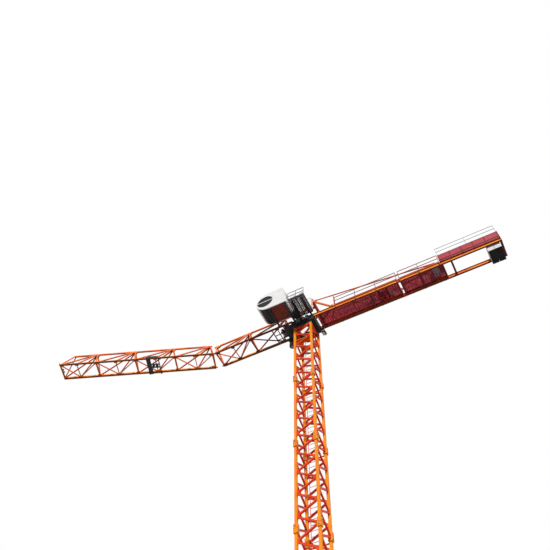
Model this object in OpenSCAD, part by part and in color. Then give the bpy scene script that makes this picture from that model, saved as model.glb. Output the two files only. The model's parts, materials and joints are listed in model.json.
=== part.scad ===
// Tower crane with a flat head: lattice mast, cab, triangular jib in two sections
// and a counter-jib. The outer jib section hangs on its first splice pin.
// Origin: centre of the cross base's underside. Jib towards -X, cab towards -Y.

/* [Mast] */
// Number of mast sections
mast_sections = 6; // [2:1:6]
// Height of one mast section
section_h = 5000; // [3000:250:5500]
// Distance between leg centres
mast_w = 1140; // [1000:20:1400]
// Side of a mast leg
leg_w = 130; // [110:10:200]
// Side of the lacing bars
lacing_w = 85; // [50:5:100]
// Panels of lacing in a section
section_panels = 4; // [3:1:6]
// How far a leg's coupling stands proud of the leg
coupling_out = 40; // [10:5:50]
// Length of a coupling
coupling_h = 460; // [300:20:1000]

/* [Base] */
// Length of each beam of the cross base
base_l = 5200; // [4000:100:6500]
// Width of a base beam
base_beam_w = 320; // [250:10:400]
// Depth of a base beam
base_beam_h = 420; // [300:10:600]
// Thickness of the base plates
base_plate_t = 40; // [20:5:60]
// Width of the centre plate and of the foot plates
base_plate_w = 620; // [450:10:700]
// Height where the base struts meet the mast legs
strut_h = 3300; // [2500:100:4000]
// Side of a base strut
strut_w = 140; // [100:10:180]

/* [Slewing] */
// Height of the mast head frame
mast_head_h = 140; // [80:10:200]
// Outer radius of the slewing ring
ring_r = 560; // [450:10:600]
// Inner radius of the slewing ring
ring_bore_r = 430; // [300:10:440]
// Height of each race of the slewing ring
race_h = 60; // [40:5:100]
// Gap between the two races
race_gap = 0.5; // [0.3:0.1:1]
// Half width of the turntable
table_y = 640; // [600:10:700]
// Reach of the step plate before the turntable, under the jib's root
step_front = 1450; // [1300:10:1500]
// Reach of the turntable towards the jib
table_front = 820; // [760:10:900]
// Reach of the turntable towards the counter-jib
table_rear = 820; // [700:10:900]
// Thickness of the turntable's bottom plate
table_t = 60; // [30:5:80]
// Radius of the slewing motor
motor_r = 170; // [120:5:200]
// Distance of the motor from the mast's axis, towards the jib
motor_front = 1250; // [1150:10:1300]
// Distance of the motor from the mast's axis, away from the cab
motor_side = 400; // [250:10:400]

/* [Jib] */
// Distance between bottom chord centres
jib_w = 1180; // [1000:20:1400]
// Distance of the first lacing node from the mast's axis
jib_foot = 1110; // [1050:10:1400]
// Height of the top chord above the bottom chords
jib_h = 1640; // [1200:20:1900]
// Height of the bottom chords above the mast top
jib_z = 866; // [820:2:950]
// Side of a chord
chord_w = 100; // [80:5:130]
// Side of the jib's lacing
jib_lacing_w = 75; // [40:5:80]
// Side of the cross bars at the ends of the bays
cross_bar_w = 90; // [60:5:90]
// Side of the lighter bars in the bottom bracing
bracing_w = 50; // [40:5:60]
// Half of a jib bay
half_bay = 1410; // [1200:10:1600]
// How far the last middle node before the root is moved towards it
root_shift = 600; // [0:20:700]
// How far each top node lies towards the tip from its bottom node
top_lead = 490; // [300:10:700]
// Half bays in the inner section
inner_bays = 4; // [4:2:6]
// Half bays in the outer section
outer_bays = 8; // [6:2:10]
// How much shorter the last half bay is
tip_short = 180; // [0:20:300]
// Set-back of a section's end frame from its splice pins
end_frame = 110; // [110:5:220]
// Width of the flange that the trolley runs on
run_flange_w = 60; // [50:5:90]
// Thickness of that flange
run_flange_t = 16; // [10:2:25]

/* [Splice] */
// Angle between the jib sections as built
swing = 21; // [0:1:40]
// Radius of the splice pins' bores
pin_bore_r = 25; // [18:1:30]
// Radial clearance of a pin
pin_clearance = 0.05; // [0.02:0.01:0.1]
// Thickness of an eye
eye_t = 40; // [30:2:50]
// Thickness of a fork plate
fork_t = 20; // [14:2:24]
// Gap between an eye and the fork plates beside it
fork_gap = 5; // [5:1:8]
// Distance from a pin to the end of its chord
chord_back = 75; // [75:5:80]

/* [Trolley] */
// Distance of the trolley's middle from the splice
trolley_at = 4400; // [1500:50:9500]
// Length of the trolley
trolley_l = 900; // [700:20:1200]
// Radius of a trolley wheel
wheel_r = 70; // [50:5:90]
// Width of a trolley wheel
wheel_w = 45; // [30:5:55]
// Gap between a wheel and the flange it runs on
wheel_gap = 0.3; // [0.2:0.1:0.5]
// Thickness of the trolley's side plates
trolley_plate_t = 20; // [12:2:30]
// Depth of the trolley's cross beams
trolley_beam = 60; // [60:10:120]
// Gap between the bottom chords and those beams
trolley_drop = 15; // [15:5:60]
// Width of the trolley's rear cross beam, under the winch ropes
trolley_tray = 300; // [100:20:340]

/* [Head] */
// Distance of the head beam behind the mast's axis
head_x = 750; // [600:10:1000]
// Side of the head beam
head_w = 180; // [140:10:220]
// Side of the head's legs
head_leg_w = 110; // [80:10:140]
// Where the rear legs stand on the counter-jib
head_foot_x = 2150; // [1800:50:2200]
// Where the front legs stand on the turntable
head_toe_x = 350; // [200:10:450]

/* [Counter-jib] */
// End of the counter-jib behind the mast's axis
counter_l = 13350; // [12500:50:14000]
// Distance between the beams' webs
counter_w = 1150; // [1100:10:1300]
// Height of the beams' centres above the mast top
counter_z = 656; // [600:2:700]
// Depth of a beam
beam_h = 280; // [240:10:340]
// Width of a beam's flanges
beam_flange = 110; // [100:10:160]
// Thickness of a beam's flanges
beam_flange_t = 20; // [12:2:24]
// Thickness of a beam's web
beam_web_t = 16; // [10:2:20]
// Where the counter-jib's two sections meet
counter_joint = 6730; // [6200:10:7000]
// Start of the open ballast bay
bay_x = 10230; // [10150:10:10500]
// Width of the cross beams
cross_w = 120; // [80:10:140]
// Where the inner section's middle cross beam is
inner_cross = 4670; // [3000:10:5500]
// Where the outer section's middle cross beam is
outer_cross = 8030; // [7500:10:8800]
// Spacing of the deck's bars
deck_pitch = 170; // [120:10:260]
// Side of the deck's bars
deck_bar = 30; // [20:2:40]
// Height of the handrails above the beams
rail_h = 850; // [800:50:1100]
// Spacing of the rail posts on the inner section
rail_pitch = 1420; // [1200:10:1450]
// Side of the handrails
rail_w = 36; // [25:1:45]
// Side of the ties
tie_w = 60; // [50:5:90]
// How far the ties start below the middle of the head beam
tie_drop = 160; // [140:5:200]
// Height of the ties' feet above the beams
tie_foot = 200; // [150:10:260]
// Where the ties meet the beams
tie_x = 9150; // [8500:50:9300]

/* [Ballast] */
// Length of a ballast slab along the counter-jib
slab_t = 400; // [300:10:500]
// Gap between the two slabs
slab_gap = 20; // [20:5:80]
// Depth of a slab below its shoulders
slab_h = 750; // [600:10:1300]
// Height of a slab's shoulders, which stand on the beams
shoulder_h = 100; // [60:5:150]

/* [Panel] */
// Start of the parapet panel
panel_x = 9500; // [9300:50:10000]
// Height of the parapet panel
panel_h = 590; // [450:10:700]
// Height of its lower edge above the beams
panel_low = 180; // [120:10:240]
// Thickness of the panel
panel_t = 30; // [26:2:40]
// Spacing of the frames on the panel
panel_frame = 740; // [600:20:900]
// Height of the bare sign frame above the beams
sign_h = 1720; // [1400:20:2200]
// Side of the sign frame's bars
sign_bar = 25; // [20:1:30]

/* [Winches] */
// Distance of the hoist winch from the counter-jib's joint
winch_back = 1180; // [900:20:1300]
// Distance of the hoist winch's middle from the crane's, away from the cab
winch_side = 150; // [0:10:160]
// Radius of its drum
drum_r = 230; // [180:10:260]
// Length of its drum
drum_l = 500; // [400:20:520]
// Height of its axis above the beams
drum_h = 280; // [260:10:340]
// Distance of the trolley winch from the mast's axis
small_winch_x = 1720; // [1650:10:1900]
// How far its frame reaches towards the tip
small_winch_reach = 640; // [250:20:700]
// Radius of the trolley winch's drum
small_drum_r = 130; // [90:10:160]
// Length of the trolley winch's drum
small_drum_l = 360; // [250:10:420]

/* [Housing] */
// Start of the motor housing
housing_x = 8900; // [8300:50:9000]
// Length of the motor housing
housing_l = 400; // [300:20:500]
// Width of the motor housing
housing_w = 700; // [500:20:800]
// Height of the motor housing
housing_h = 480; // [300:20:800]

/* [Cabinets] */
// Depth of the control cabinets, along the crane
cabinet_w = 250; // [200:10:300]
// Width of the control cabinets
cabinet_d = 650; // [400:20:700]
// Height of the taller cabinet
cabinet_h = 900; // [700:20:1200]
// Gap between the cabinets
cabinet_gap = 420; // [300:20:440]
// Distance of the cabinets from the crane's middle plane
cabinet_y = 1250; // [1000:10:1300]
// Width of the tall cabinet beside the turntable
tall_cabinet_w = 300; // [200:20:400]
// Height of the tall cabinet
tall_cabinet_h = 1100; // [900:20:1300]

/* [Cab] */
// Width of the cab
cab_w = 1350; // [1000:10:1400]
// Height of the cab
cab_h = 1880; // [1700:10:2000]
// Length of the cab's floor
cab_floor_l = 1330; // [1000:10:1600]
// Rear edge of the cab's floor, in front of the mast's axis
cab_rear = 420; // [350:10:500]
// How far the rear wall leans forward over its height
cab_lean = 290; // [200:10:500]
// Height of the cab's floor above the mast top
cab_z = 1050; // [1000:10:1200]
// Far side of the cab from the mast's axis
cab_y = 850; // [800:10:1000]
// Thickness of the cab's walls
cab_wall = 45; // [30:5:60]
// Radius of the round side windows
porthole_r = 560; // [400:10:600]
// Thickness of the glass
glass_t = 12; // [8:1:20]

/* [Hidden] */
$fn = 48;

orange = "#f07a1c";
red = "#d2331f";
dark = "#2b2726";
grey = "#8f9496";
white = "#eeeeec";
concrete = "#c9c6be";

mast_z = base_beam_h + base_plate_t;
mast_top = mast_z + mast_sections * section_h;
panel_pitch = section_h / section_panels;
coupling_w = leg_w + 2 * coupling_out;
half_mast = mast_w / 2;
top_bar_w = lacing_w + 15;

landing_t = 30;
bearer_w = 60;
bearer_h = 80;
hatch = 480;

race_z = mast_top + mast_head_h;
table_z = race_z + 2 * race_h + race_gap;

chord_z = mast_top + jib_z;
top_z = chord_z + jib_h;
chord_y = jib_w / 2;
table_top = chord_z - chord_w / 2;
jib_seat = 80;
jib_root = -(table_front - jib_seat);
splice_x = -jib_foot - inner_bays * half_bay;
outer_l = outer_bays * half_bay - tip_short;
eye_r = chord_w / 2;
node_y = 0.4 * chord_w;

beam_z = mast_top + counter_z;
beam_top = beam_z + beam_h / 2;
beam_bottom = beam_z - beam_h / 2;
beam_y = counter_w / 2;
web_face = beam_y - beam_web_t / 2;
head_beam_z = top_z;
deck_z = beam_top - beam_flange_t - deck_bar;
deck_top = beam_top - beam_flange_t;
deck_half = beam_y - beam_flange / 2;
deck_rail = 40;
girder_w = 80;
step_t = 20;
step_half = chord_y - chord_w;
tie_lug_t = 40;
tie_post_x = head_foot_x + 130;
motor_gap = 5;
motor_seat = motor_r + 60;
motor_l = 700;
motor_flange = 40;

cab_nose_r = cab_h / 2;
cab_floor_z = mast_top + cab_z;
cab_nose_x = -(cab_rear + cab_floor_l);
cab_axis_z = cab_floor_z + cab_nose_r;
cab_far = -cab_y;
cab_near = -(cab_y + cab_w);
porthole_x = cab_nose_x - cab_nose_r + porthole_r + 115;
glass_set = 8;

// A square bar between two points
module bar(a, b, w) {
    d = b - a;
    l = norm(d);
    translate(a)
        rotate([0, acos(d[2] / l), atan2(d[1], d[0])])
            translate([-w / 2, -w / 2, 0])
                cube([w, w, l]);
}

// A box between two corners
module box(a, b) {
    translate(a)
        cube(b - a);
}

// Cross base, one piece with its centre plate and foot plates
module base_frame() {
    color(orange) {
        for (turn = [45, 135])
            rotate([0, 0, turn])
                difference() {
                    translate([-base_l / 2, -base_beam_w / 2, 0])
                        cube([base_l, base_beam_w, base_beam_h]);
                    if (turn == 135)
                        translate([-base_beam_w / 2, -base_beam_w / 2, -1])
                            cube([base_beam_w, base_beam_w, base_beam_h + 2]);
                }
        for (turn = [45:90:315])
            rotate([0, 0, turn]) {
                translate([base_l / 2 - base_plate_w, -base_plate_w / 2, 0])
                    cube([base_plate_w, base_plate_w, base_plate_t]);
                translate([half_mast * sqrt(2) - base_plate_w / 3, -base_beam_w / 2, 0])
                    cube([base_plate_w * 2 / 3, base_beam_w, mast_z]);
            }
        translate([-base_plate_w, -base_plate_w, 0])
            cube([2 * base_plate_w, 2 * base_plate_w, base_plate_t]);
    }
}

// One strut from a beam's end to a mast leg
module base_struts() {
    reach = base_l / 2 - base_plate_w / 2;
    leg_out = half_mast * sqrt(2) + leg_w / sqrt(2);
    color(orange)
        difference() {
            for (turn = [45:90:315])
                rotate([0, 0, turn])
                    intersection() {
                        bar([reach, 0, base_beam_h - strut_w], [leg_out - strut_w, 0, strut_h], strut_w);
                        box([half_mast * sqrt(2), -strut_w, base_beam_h],
                            [base_l / 2, strut_w, strut_h + strut_w]);
                    }
            for (x = [-half_mast, half_mast], y = [-half_mast, half_mast])
                mast_leg(x, y);
        }
}

// A mast leg at a corner, with a coupling at each joint between sections
module mast_leg(x, y) {
    translate([x - leg_w / 2, y - leg_w / 2, mast_z])
        cube([leg_w, leg_w, mast_top - mast_z]);
    for (k = [1:1:mast_sections - 1])
        translate([x - coupling_w / 2, y - coupling_w / 2, mast_z + k * section_h - coupling_h / 2])
            cube([coupling_w, coupling_w, coupling_h]);
}

// One side of the mast: its left leg, and the lacing and top bar that run to the next leg
module mast_side() {
    mast_leg(-half_mast, -half_mast);
    difference() {
        intersection() {
            union() {
                for (k = [1:1:mast_sections * section_panels])
                    lacing_panel(mast_z + k * panel_pitch);
                box([-half_mast, -half_mast - top_bar_w / 2, mast_top - top_bar_w],
                    [half_mast, -half_mast + top_bar_w / 2, mast_top]);
            }
            box([-half_mast, -mast_w, mast_z], [half_mast, 0, mast_top]);
        }
        mast_leg(half_mast, -half_mast);
    }
}

// The two slanting bars of a panel that ends at height z
module lacing_panel(z) {
    mid = [-half_mast, -half_mast, z - panel_pitch / 2];
    bar(mid, [half_mast, -half_mast, z], lacing_w);
    bar([half_mast, -half_mast, z - panel_pitch], mid, lacing_w);
}

module mast_side_near() {
    color(orange)
        mast_side();
}

module mast_side_counter() {
    color(orange)
        rotate([0, 0, 90])
            mast_side();
}

module mast_side_far() {
    color(orange)
        rotate([0, 0, 180])
            mast_side();
}

module mast_side_jib() {
    color(orange)
        rotate([0, 0, 270])
            mast_side();
}

// Landing inside the top section, between the legs, with a hatch and two bearers under it
module top_landing() {
    z = mast_top - panel_pitch;
    half = half_mast - lacing_w / 2;
    color(red)
        difference() {
            union() {
                box([-half, -half, z], [half, half, z + landing_t]);
                for (y = [-half / 2, half / 2])
                    box([-half, y - bearer_w / 2, z - bearer_h], [half, y + bearer_w / 2, z]);
            }
            for (x = [-half_mast, half_mast], y = [-half_mast, half_mast])
                mast_leg(x, y);
            box([-hatch / 2, half / 2 - bearer_w - hatch, z - 1],
                [hatch / 2, half / 2 - bearer_w, z + landing_t + 1]);
        }
}

// Square frame that joins the legs and carries the slewing ring
module mast_head() {
    half = half_mast + leg_w / 2;
    color(dark)
        translate([0, 0, mast_top])
            difference() {
                translate([-half, -half, 0])
                    cube([2 * half, 2 * half, mast_head_h]);
                translate([0, 0, -1])
                    cylinder(r = ring_bore_r, h = mast_head_h + 2);
            }
}

// A plain ring
module ring(outer, inner, h) {
    difference() {
        cylinder(r = outer, h = h, $fn = 96);
        translate([0, 0, -1])
            cylinder(r = inner, h = h + 2, $fn = 96);
    }
}

module fixed_race() {
    color(grey)
        translate([0, 0, race_z])
            ring(ring_r, ring_bore_r, race_h);
}

module turning_race() {
    color(grey)
        translate([0, 0, race_z + race_h + race_gap])
            ring(ring_r, ring_bore_r, race_h);
}

// Slewing frame: plate with two side girders that carry jib and counter-jib, and the motor's bracket
module turntable() {
    color(dark)
        difference() {
            union() {
                box([-table_front, -table_y, table_z], [table_rear, table_y, table_z + table_t]);
                box([-motor_front - motor_seat, motor_side - motor_seat, table_z],
                    [-table_front + 1, motor_side + motor_seat, table_z + table_t]);
                for (side = [-1, 1])
                    box([-table_front, side * chord_y - girder_w / 2, table_z],
                        [table_rear, side * chord_y + girder_w / 2, table_top]);
                for (x = [-table_front, table_rear - girder_w])
                    box([x, -chord_y, table_z], [x + girder_w, chord_y, table_top]);
                box([-step_front, -step_half, table_top - step_t], [-table_front + 1, step_half, table_top]);
            }
            translate([0, 0, table_z - 1])
                cylinder(r = ring_bore_r, h = table_t + 2);
            translate([-motor_front, motor_side, table_z - 1])
                cylinder(r = motor_r + motor_gap, h = table_t + 2);
        }
}

// Slewing motor, hung through the turntable beside the ring
module slewing_motor() {
    color(dark)
        translate([-motor_front, motor_side, table_z + table_t]) {
            translate([0, 0, -motor_l])
                cylinder(r = motor_r, h = motor_l);
            cylinder(r = motor_r + motor_flange, h = motor_flange);
            cylinder(r = motor_r - motor_flange, h = 4 * motor_flange);
        }
}

lamp_x = table_rear + 220;
lamp_y = 480;
lamp_z = table_z - 380;
lamp_arm = 60;
lamp_tilt = 25;
lamp_size = [240, 300, 140];

// Flood lamp on an arm behind the turntable, outside the mast's corners
module flood_lamp() {
    color(dark) {
        translate([table_rear, lamp_y - lamp_arm / 2, table_z])
            cube([lamp_x - table_rear, lamp_arm, lamp_arm]);
        box([lamp_x - lamp_arm / 2, lamp_y - lamp_arm / 2, lamp_z],
            [lamp_x + lamp_arm / 2, lamp_y + lamp_arm / 2, table_z + lamp_arm]);
        translate([lamp_x, lamp_y, lamp_z])
            rotate([0, lamp_tilt, 0])
                cube(lamp_size, center = true);
    }
}

// Near or far bottom chord with its running flange, from x1 up to x2
module bottom_chord(x1, x2) {
    box([x1, chord_y - chord_w / 2, -chord_w / 2], [x2, chord_y + chord_w / 2, chord_w / 2]);
    box([x1, chord_y + chord_w / 2, -chord_w / 2],
        [x2, chord_y + chord_w / 2 + run_flange_w, -chord_w / 2 + run_flange_t]);
}

// Top chord in the same frame
module top_chord(x1, x2) {
    box([x1, -chord_w / 2, jib_h - chord_w / 2], [x2, chord_w / 2, jib_h + chord_w / 2]);
}

// The two plates of a fork about the origin, running back to a chord on the +X side
module fork() {
    for (side = [-1, 1])
        translate([0, 0, side * (eye_t / 2 + fork_gap + fork_t / 2) - fork_t / 2])
            mirror([1, 0, 0])
                lug_plate(fork_t);
}

// The eye that goes between them, running back to a chord on the -X side
module eye() {
    translate([0, 0, -eye_t / 2])
        lug_plate(eye_t);
}

// A plate with a round end about a bore, running back towards -X
module lug_plate(t) {
    difference() {
        union() {
            cylinder(r = eye_r, h = t);
            translate([-chord_back - eye_r, -eye_r, 0])
                cube([chord_back + eye_r, 2 * eye_r, t]);
        }
        translate([0, 0, -1])
            cylinder(r = pin_bore_r, h = t + 2);
    }
}

// Three bars from a top node to bottom nodes of one side; x values along the chord
module lacing_fan(top_x, bottoms) {
    for (x = bottoms)
        bar([x, chord_y, 0], [top_x, node_y, jib_h], jib_lacing_w);
}

// Cross bars at the bottom nodes and a zigzag between them, clear of the chords
module bottom_bracing(nodes) {
    inner = chord_y - chord_w / 2;
    last = len(nodes) - 1;
    intersection() {
        union() {
            for (k = [0:1:last])
                bar([nodes[k], -chord_y, 0], [nodes[k], chord_y, 0], k % 2 == 0 ? cross_bar_w : bracing_w);
            for (k = [0:1:last - 1]) {
                side = k % 2 == 0 ? -1 : 1;
                bar([nodes[k], side * chord_y, 0], [nodes[k + 1], -side * chord_y, 0], bracing_w + 10);
            }
        }
        box([min(nodes[0], nodes[last]) - chord_w, -inner, -chord_w],
            [max(nodes[0], nodes[last]) + chord_w, inner, chord_w]);
    }
}

// Puts what follows at the splice, as seen from the crane's frame
module at_splice() {
    translate([splice_x, 0, chord_z])
        children();
}

// Puts what follows at the splice and swings it about the near pin
module at_swung_splice() {
    translate([splice_x, -chord_y, chord_z])
        rotate([0, 0, swing])
            translate([0, chord_y, 0])
                children();
}

// Bottom nodes of both sections, counted from the splice; the end frames stand back from the pins
inner_root = jib_root - splice_x;
inner_nodes = [for (k = [0:1:inner_bays])
    min(max(k * half_bay, end_frame) + (k == inner_bays - 1 ? root_shift : 0), inner_root - chord_w)];
outer_nodes = [for (k = [0:1:outer_bays]) -min(max(k * half_bay, end_frame), outer_l - chord_w / 2)];
tip_top_x = -outer_l + top_lead;

// One side of the inner section, which runs from the splice towards +X
module inner_side() {
    bottom_chord(chord_back, inner_root);
    translate([0, chord_y, 0])
        fork();
    difference() {
        for (k = [0:2:inner_bays])
            lacing_fan(inner_nodes[k] - top_lead, [for (n = [max(k - 2, 0):1:k]) inner_nodes[n]]);
        top_chord(-top_lead, inner_root);
        bracing_space(0, inner_root);
    }
}

// The space between the chords that the bottom bracing takes up
module bracing_space(x1, x2) {
    box([x1, -chord_y, -chord_w], [x2, chord_y - chord_w / 2 + 1, cross_bar_w / 2 + 1]);
}

module jib_side_near() {
    color(orange)
        at_splice()
            mirror([0, 1, 0])
                inner_side();
}

module jib_side_far() {
    color(orange)
        at_splice()
            inner_side();
}

module jib_bottom_bracing() {
    color(red)
        at_splice()
            bottom_bracing(inner_nodes);
}

module jib_top_chord() {
    color(orange)
        at_splice() {
            top_chord(chord_back - top_lead, head_x - head_w / 2 - splice_x);
            translate([-top_lead, 0, jib_h])
                fork();
        }
}

winch_bar = 60;
winch_side_t = 20;

// Trolley winch on two bars that lie across the bottom chords
module trolley_winch() {
    base = chord_z + chord_w / 2;
    reach = small_drum_r + 2 * winch_bar;
    rim = small_drum_r + winch_bar;
    color(dark)
        translate([-small_winch_x, 0, base]) {
            for (x = [-small_winch_reach, reach - winch_bar])
                box([x, -chord_y, 0], [x + winch_bar, chord_y, winch_bar]);
            for (y = [0, small_drum_l + winch_side_t])
                box([-small_winch_reach, y, 0], [reach, y + winch_side_t, 1.5 * winch_bar]);
            translate([0, small_drum_l + 2 * winch_side_t, rim])
                rotate([90, 0, 0]) {
                    cylinder(r = rim, h = winch_side_t);
                    cylinder(r = small_drum_r, h = small_drum_l + 2 * winch_side_t);
                    translate([0, 0, small_drum_l + winch_side_t])
                        cylinder(r = rim, h = winch_side_t);
                    translate([0, 0, small_drum_l + 2 * winch_side_t])
                        cylinder(r = small_drum_r * 0.7, h = small_drum_l / 2);
                }
        }
}

// The one splice pin that is in, through fork and eye on the near side
module splice_pin() {
    stack = eye_t / 2 + fork_gap + fork_t;
    color(grey)
        translate([splice_x, -chord_y, chord_z - stack - 10]) {
            cylinder(r = pin_bore_r - pin_clearance, h = 2 * stack + 20);
            translate([0, 0, -12])
                cylinder(r = pin_bore_r + 12, h = 12);
            translate([0, 0, 2 * stack + 20])
                cylinder(r = pin_bore_r + 12, h = 12);
        }
}

// One side of the outer section, which runs from the splice towards -X
module outer_side() {
    bottom_chord(-outer_l, -chord_back);
    translate([0, chord_y, 0])
        eye();
    difference() {
        union() {
            for (k = [0:2:outer_bays - 2])
                lacing_fan(outer_nodes[k] - top_lead, [for (n = [k:1:k + 2]) outer_nodes[n]]);
            lacing_fan(tip_top_x, [outer_nodes[outer_bays]]);
        }
        top_chord(-outer_l, 0);
        bracing_space(-outer_l - chord_w, 0);
    }
}

module outer_side_near() {
    color(orange)
        at_swung_splice()
            mirror([0, 1, 0])
                outer_side();
}

module outer_side_far() {
    color(orange)
        at_swung_splice()
            outer_side();
}

module outer_bottom_bracing() {
    color(red)
        at_swung_splice()
            bottom_bracing(outer_nodes);
}

lift_xs = [-6600, -4260];
lift_l = 160;
lift_h = 90;
lift_t = 24;

module outer_top_chord() {
    color(orange)
        at_swung_splice() {
            top_chord(tip_top_x - chord_w, -top_lead - chord_back);
            translate([-top_lead, 0, jib_h])
                eye();
            for (x = lift_xs)
                translate([x, 0, jib_h + chord_w / 2])
                    lifting_lug();
        }
}

// Upright plate with a round top and an eye, for lifting the section
module lifting_lug() {
    translate([0, lift_t / 2, 0])
        rotate([90, 0, 0])
            linear_extrude(lift_t)
                difference() {
                    union() {
                        translate([0, lift_h / 2])
                            circle(r = lift_h / 2);
                        translate([-lift_l / 2, -1])
                            square([lift_l, lift_h / 2 - 10]);
                    }
                    translate([0, lift_h / 2])
                        circle(r = lift_h / 4);
                }
}

// Trolley under the outer section, carried by four wheels on the running flanges
module at_trolley() {
    at_swung_splice()
        translate([-trolley_at, 0, 0])
            children();
}

wheel_y = chord_y + chord_w / 2 + run_flange_w / 2;
wheel_z = -chord_w / 2 + run_flange_t + wheel_gap + wheel_r;
wheel_x = trolley_l / 2 - wheel_r - 30;
plate_y = chord_y + chord_w / 2 + run_flange_w + 8;
hub_l = plate_y - wheel_y - wheel_w / 2;
axle_r = 22;
trolley_low = -chord_w / 2 - trolley_drop - trolley_beam;
trolley_foot = trolley_beam + 40;

// Side plate seen along Y: a foot at each end carries a cross beam
module trolley_plate() {
    top = wheel_z + wheel_r / 2;
    half = trolley_l / 2;
    polygon([
        [-half, trolley_low],
        [trolley_foot - half, trolley_low],
        [trolley_foot - half, -chord_w / 2],
        [half - trolley_foot, -chord_w / 2],
        [half - trolley_foot, trolley_low],
        [half, trolley_low],
        [half, top - wheel_r / 2],
        [half - wheel_r, top],
        [wheel_r - half, top],
        [-half, top - wheel_r / 2]]);
}

module trolley_frame() {
    color(dark)
        at_trolley() {
            for (side = [-1, 1])
                translate([0, side * (plate_y + trolley_plate_t / 2) + trolley_plate_t / 2, 0])
                    rotate([90, 0, 0])
                        linear_extrude(trolley_plate_t)
                            trolley_plate();
            translate([-trolley_l / 2, -plate_y, trolley_low])
                cube([trolley_tray, 2 * plate_y, trolley_beam]);
            translate([trolley_l / 2 - trolley_beam, -plate_y, trolley_low])
                cube([trolley_beam, 2 * plate_y, trolley_beam]);
            for (y = [-170, 90])
                translate([trolley_tray - trolley_l / 2, y, trolley_low])
                    cube([trolley_l - trolley_tray - trolley_beam, 80, trolley_beam]);
        }
}

module trolley_wheels() {
    color(grey)
        at_trolley()
            for (side = [-1, 1], x = [-wheel_x, wheel_x])
                translate([x, side * wheel_y, wheel_z])
                    rotate([-90 * side, 0, 0])
                        translate([0, 0, -wheel_w / 2]) {
                            cylinder(r = wheel_r, h = wheel_w);
                            cylinder(r = axle_r, h = wheel_w + hub_l);
                        }
}

// Head: a cross beam on two A-frames, where top chord and ties meet
module tower_head() {
    half = beam_y + head_leg_w / 2;
    low = head_beam_z - head_w / 2;
    color(orange) {
        box([head_x - head_w / 2, -half, low], [head_x + head_w / 2, half, low + head_w]);
        head_frames();
    }
}

// The two A-frames
module head_frames() {
    half = beam_y + head_leg_w / 2;
    for (y = [-half, half - head_leg_w])
        translate([0, y + head_leg_w, 0])
            rotate([90, 0, 0])
                linear_extrude(head_leg_w)
                    head_legs(head_beam_z - head_w / 2 + 1);
}

// Outline of an A-frame seen from the side, up to height z
module head_legs(z) {
    foot = head_leg_w * 0.62;
    peak = head_leg_w * 0.36;
    polygon([
        [-head_toe_x - foot, table_top],
        [head_x - peak, z],
        [head_x + peak, z],
        [head_foot_x + foot, beam_top],
        [head_foot_x - foot, beam_top],
        [head_x, z - head_leg_w],
        [-head_toe_x + foot, table_top]]);
}

// A long I-beam along X, with its web on y = 0 and its middle on z = 0
module i_beam(x1, x2) {
    translate([x1, 0, 0])
        rotate([90, 0, 90])
            linear_extrude(x2 - x1) {
                translate([-beam_web_t / 2, -beam_h / 2])
                    square([beam_web_t, beam_h]);
                for (z = [-beam_h / 2, beam_h / 2 - beam_flange_t])
                    translate([-beam_flange / 2, z])
                        square([beam_flange, beam_flange_t]);
            }
}

module counter_beam(side) {
    translate([0, side * beam_y, beam_z])
        i_beam(table_rear, counter_l);
}

module counter_beam_near() {
    color(orange)
        counter_beam(-1);
}

module counter_beam_far() {
    color(orange)
        counter_beam(1);
}

joint_gap = 70;
first_cross = table_rear + 300;
last_cross = bay_x - 700;
cross_xs = [first_cross, inner_cross, counter_joint - joint_gap - cross_w, counter_joint + joint_gap,
    outer_cross, last_cross, bay_x - cross_w, counter_l - cross_w];

module counter_cross_beams() {
    color(red)
        for (x = cross_xs)
            box([x, -web_face, beam_bottom + beam_flange_t], [x + cross_w, web_face, deck_z]);
}

// Deck of bars on two rails, between the beams
module deck(x1, x2) {
    for (side = [-1, 1])
        translate([x1, side * (deck_half - deck_rail) - deck_rail / 2, deck_z])
            cube([x2 - x1, deck_rail, deck_bar]);
    for (x = [x1:deck_pitch:x2 - deck_bar])
        box([x, -web_face, deck_z], [x + deck_bar, web_face, deck_z + deck_bar]);
}

module deck_inner() {
    color(red)
        deck(first_cross, counter_joint - joint_gap);
}

module deck_outer() {
    color(red)
        deck(counter_joint + joint_gap, last_cross + cross_w);
}

// Ties from the head to the beams, with a lug at the foot and a post near the head
module counter_ties() {
    high = head_beam_z - tie_drop;
    low = beam_top + tie_foot;
    slope = (high - low) / (tie_x - head_x);
    post_w = tie_w - 10;
    post_top = high - slope * (tie_post_x + post_w - head_x);
    color(orange)
        difference() {
            for (side = [-1, 1]) {
                intersection() {
                    bar([head_x, side * beam_y, high], [tie_x, side * beam_y, low], tie_w);
                    box([head_x, -2 * beam_y, beam_top], [tie_x, 2 * beam_y, head_beam_z]);
                }
                box([tie_x - 2 * tie_w, side * beam_y - tie_lug_t / 2, beam_top],
                    [tie_x + tie_w, side * beam_y + tie_lug_t / 2, low + tie_w]);
                box([tie_post_x, side * beam_y - post_w / 2, beam_top],
                    [tie_post_x + post_w, side * beam_y + post_w / 2, post_top]);
            }
            head_frames();
        }
}

rail_end = counter_joint - joint_gap - rail_w;
rail_start = counter_joint + joint_gap;
inner_rail_xs = [for (k = [3:-1:0]) rail_end - k * rail_pitch];
outer_rail_xs = [for (k = [0:1:2]) rail_start + k * (panel_x - joint_gap - rail_start) / 2];

// Posts and two rails of one section, outside the beams; x positions of the posts
module rail_run(xs) {
    y = beam_y + beam_flange / 2 + rail_w / 2;
    for (side = [-1, 1]) {
        for (x = xs)
            box([x, side * y - rail_w / 2, beam_bottom + beam_flange_t],
                [x + rail_w, side * y + rail_w / 2, beam_top + rail_h]);
        for (z = [rail_h / 2, rail_h - rail_w])
            box([xs[0], side * y - rail_w / 2, beam_top + z],
                [xs[len(xs) - 1] + rail_w, side * y + rail_w / 2, beam_top + z + rail_w]);
    }
}

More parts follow.
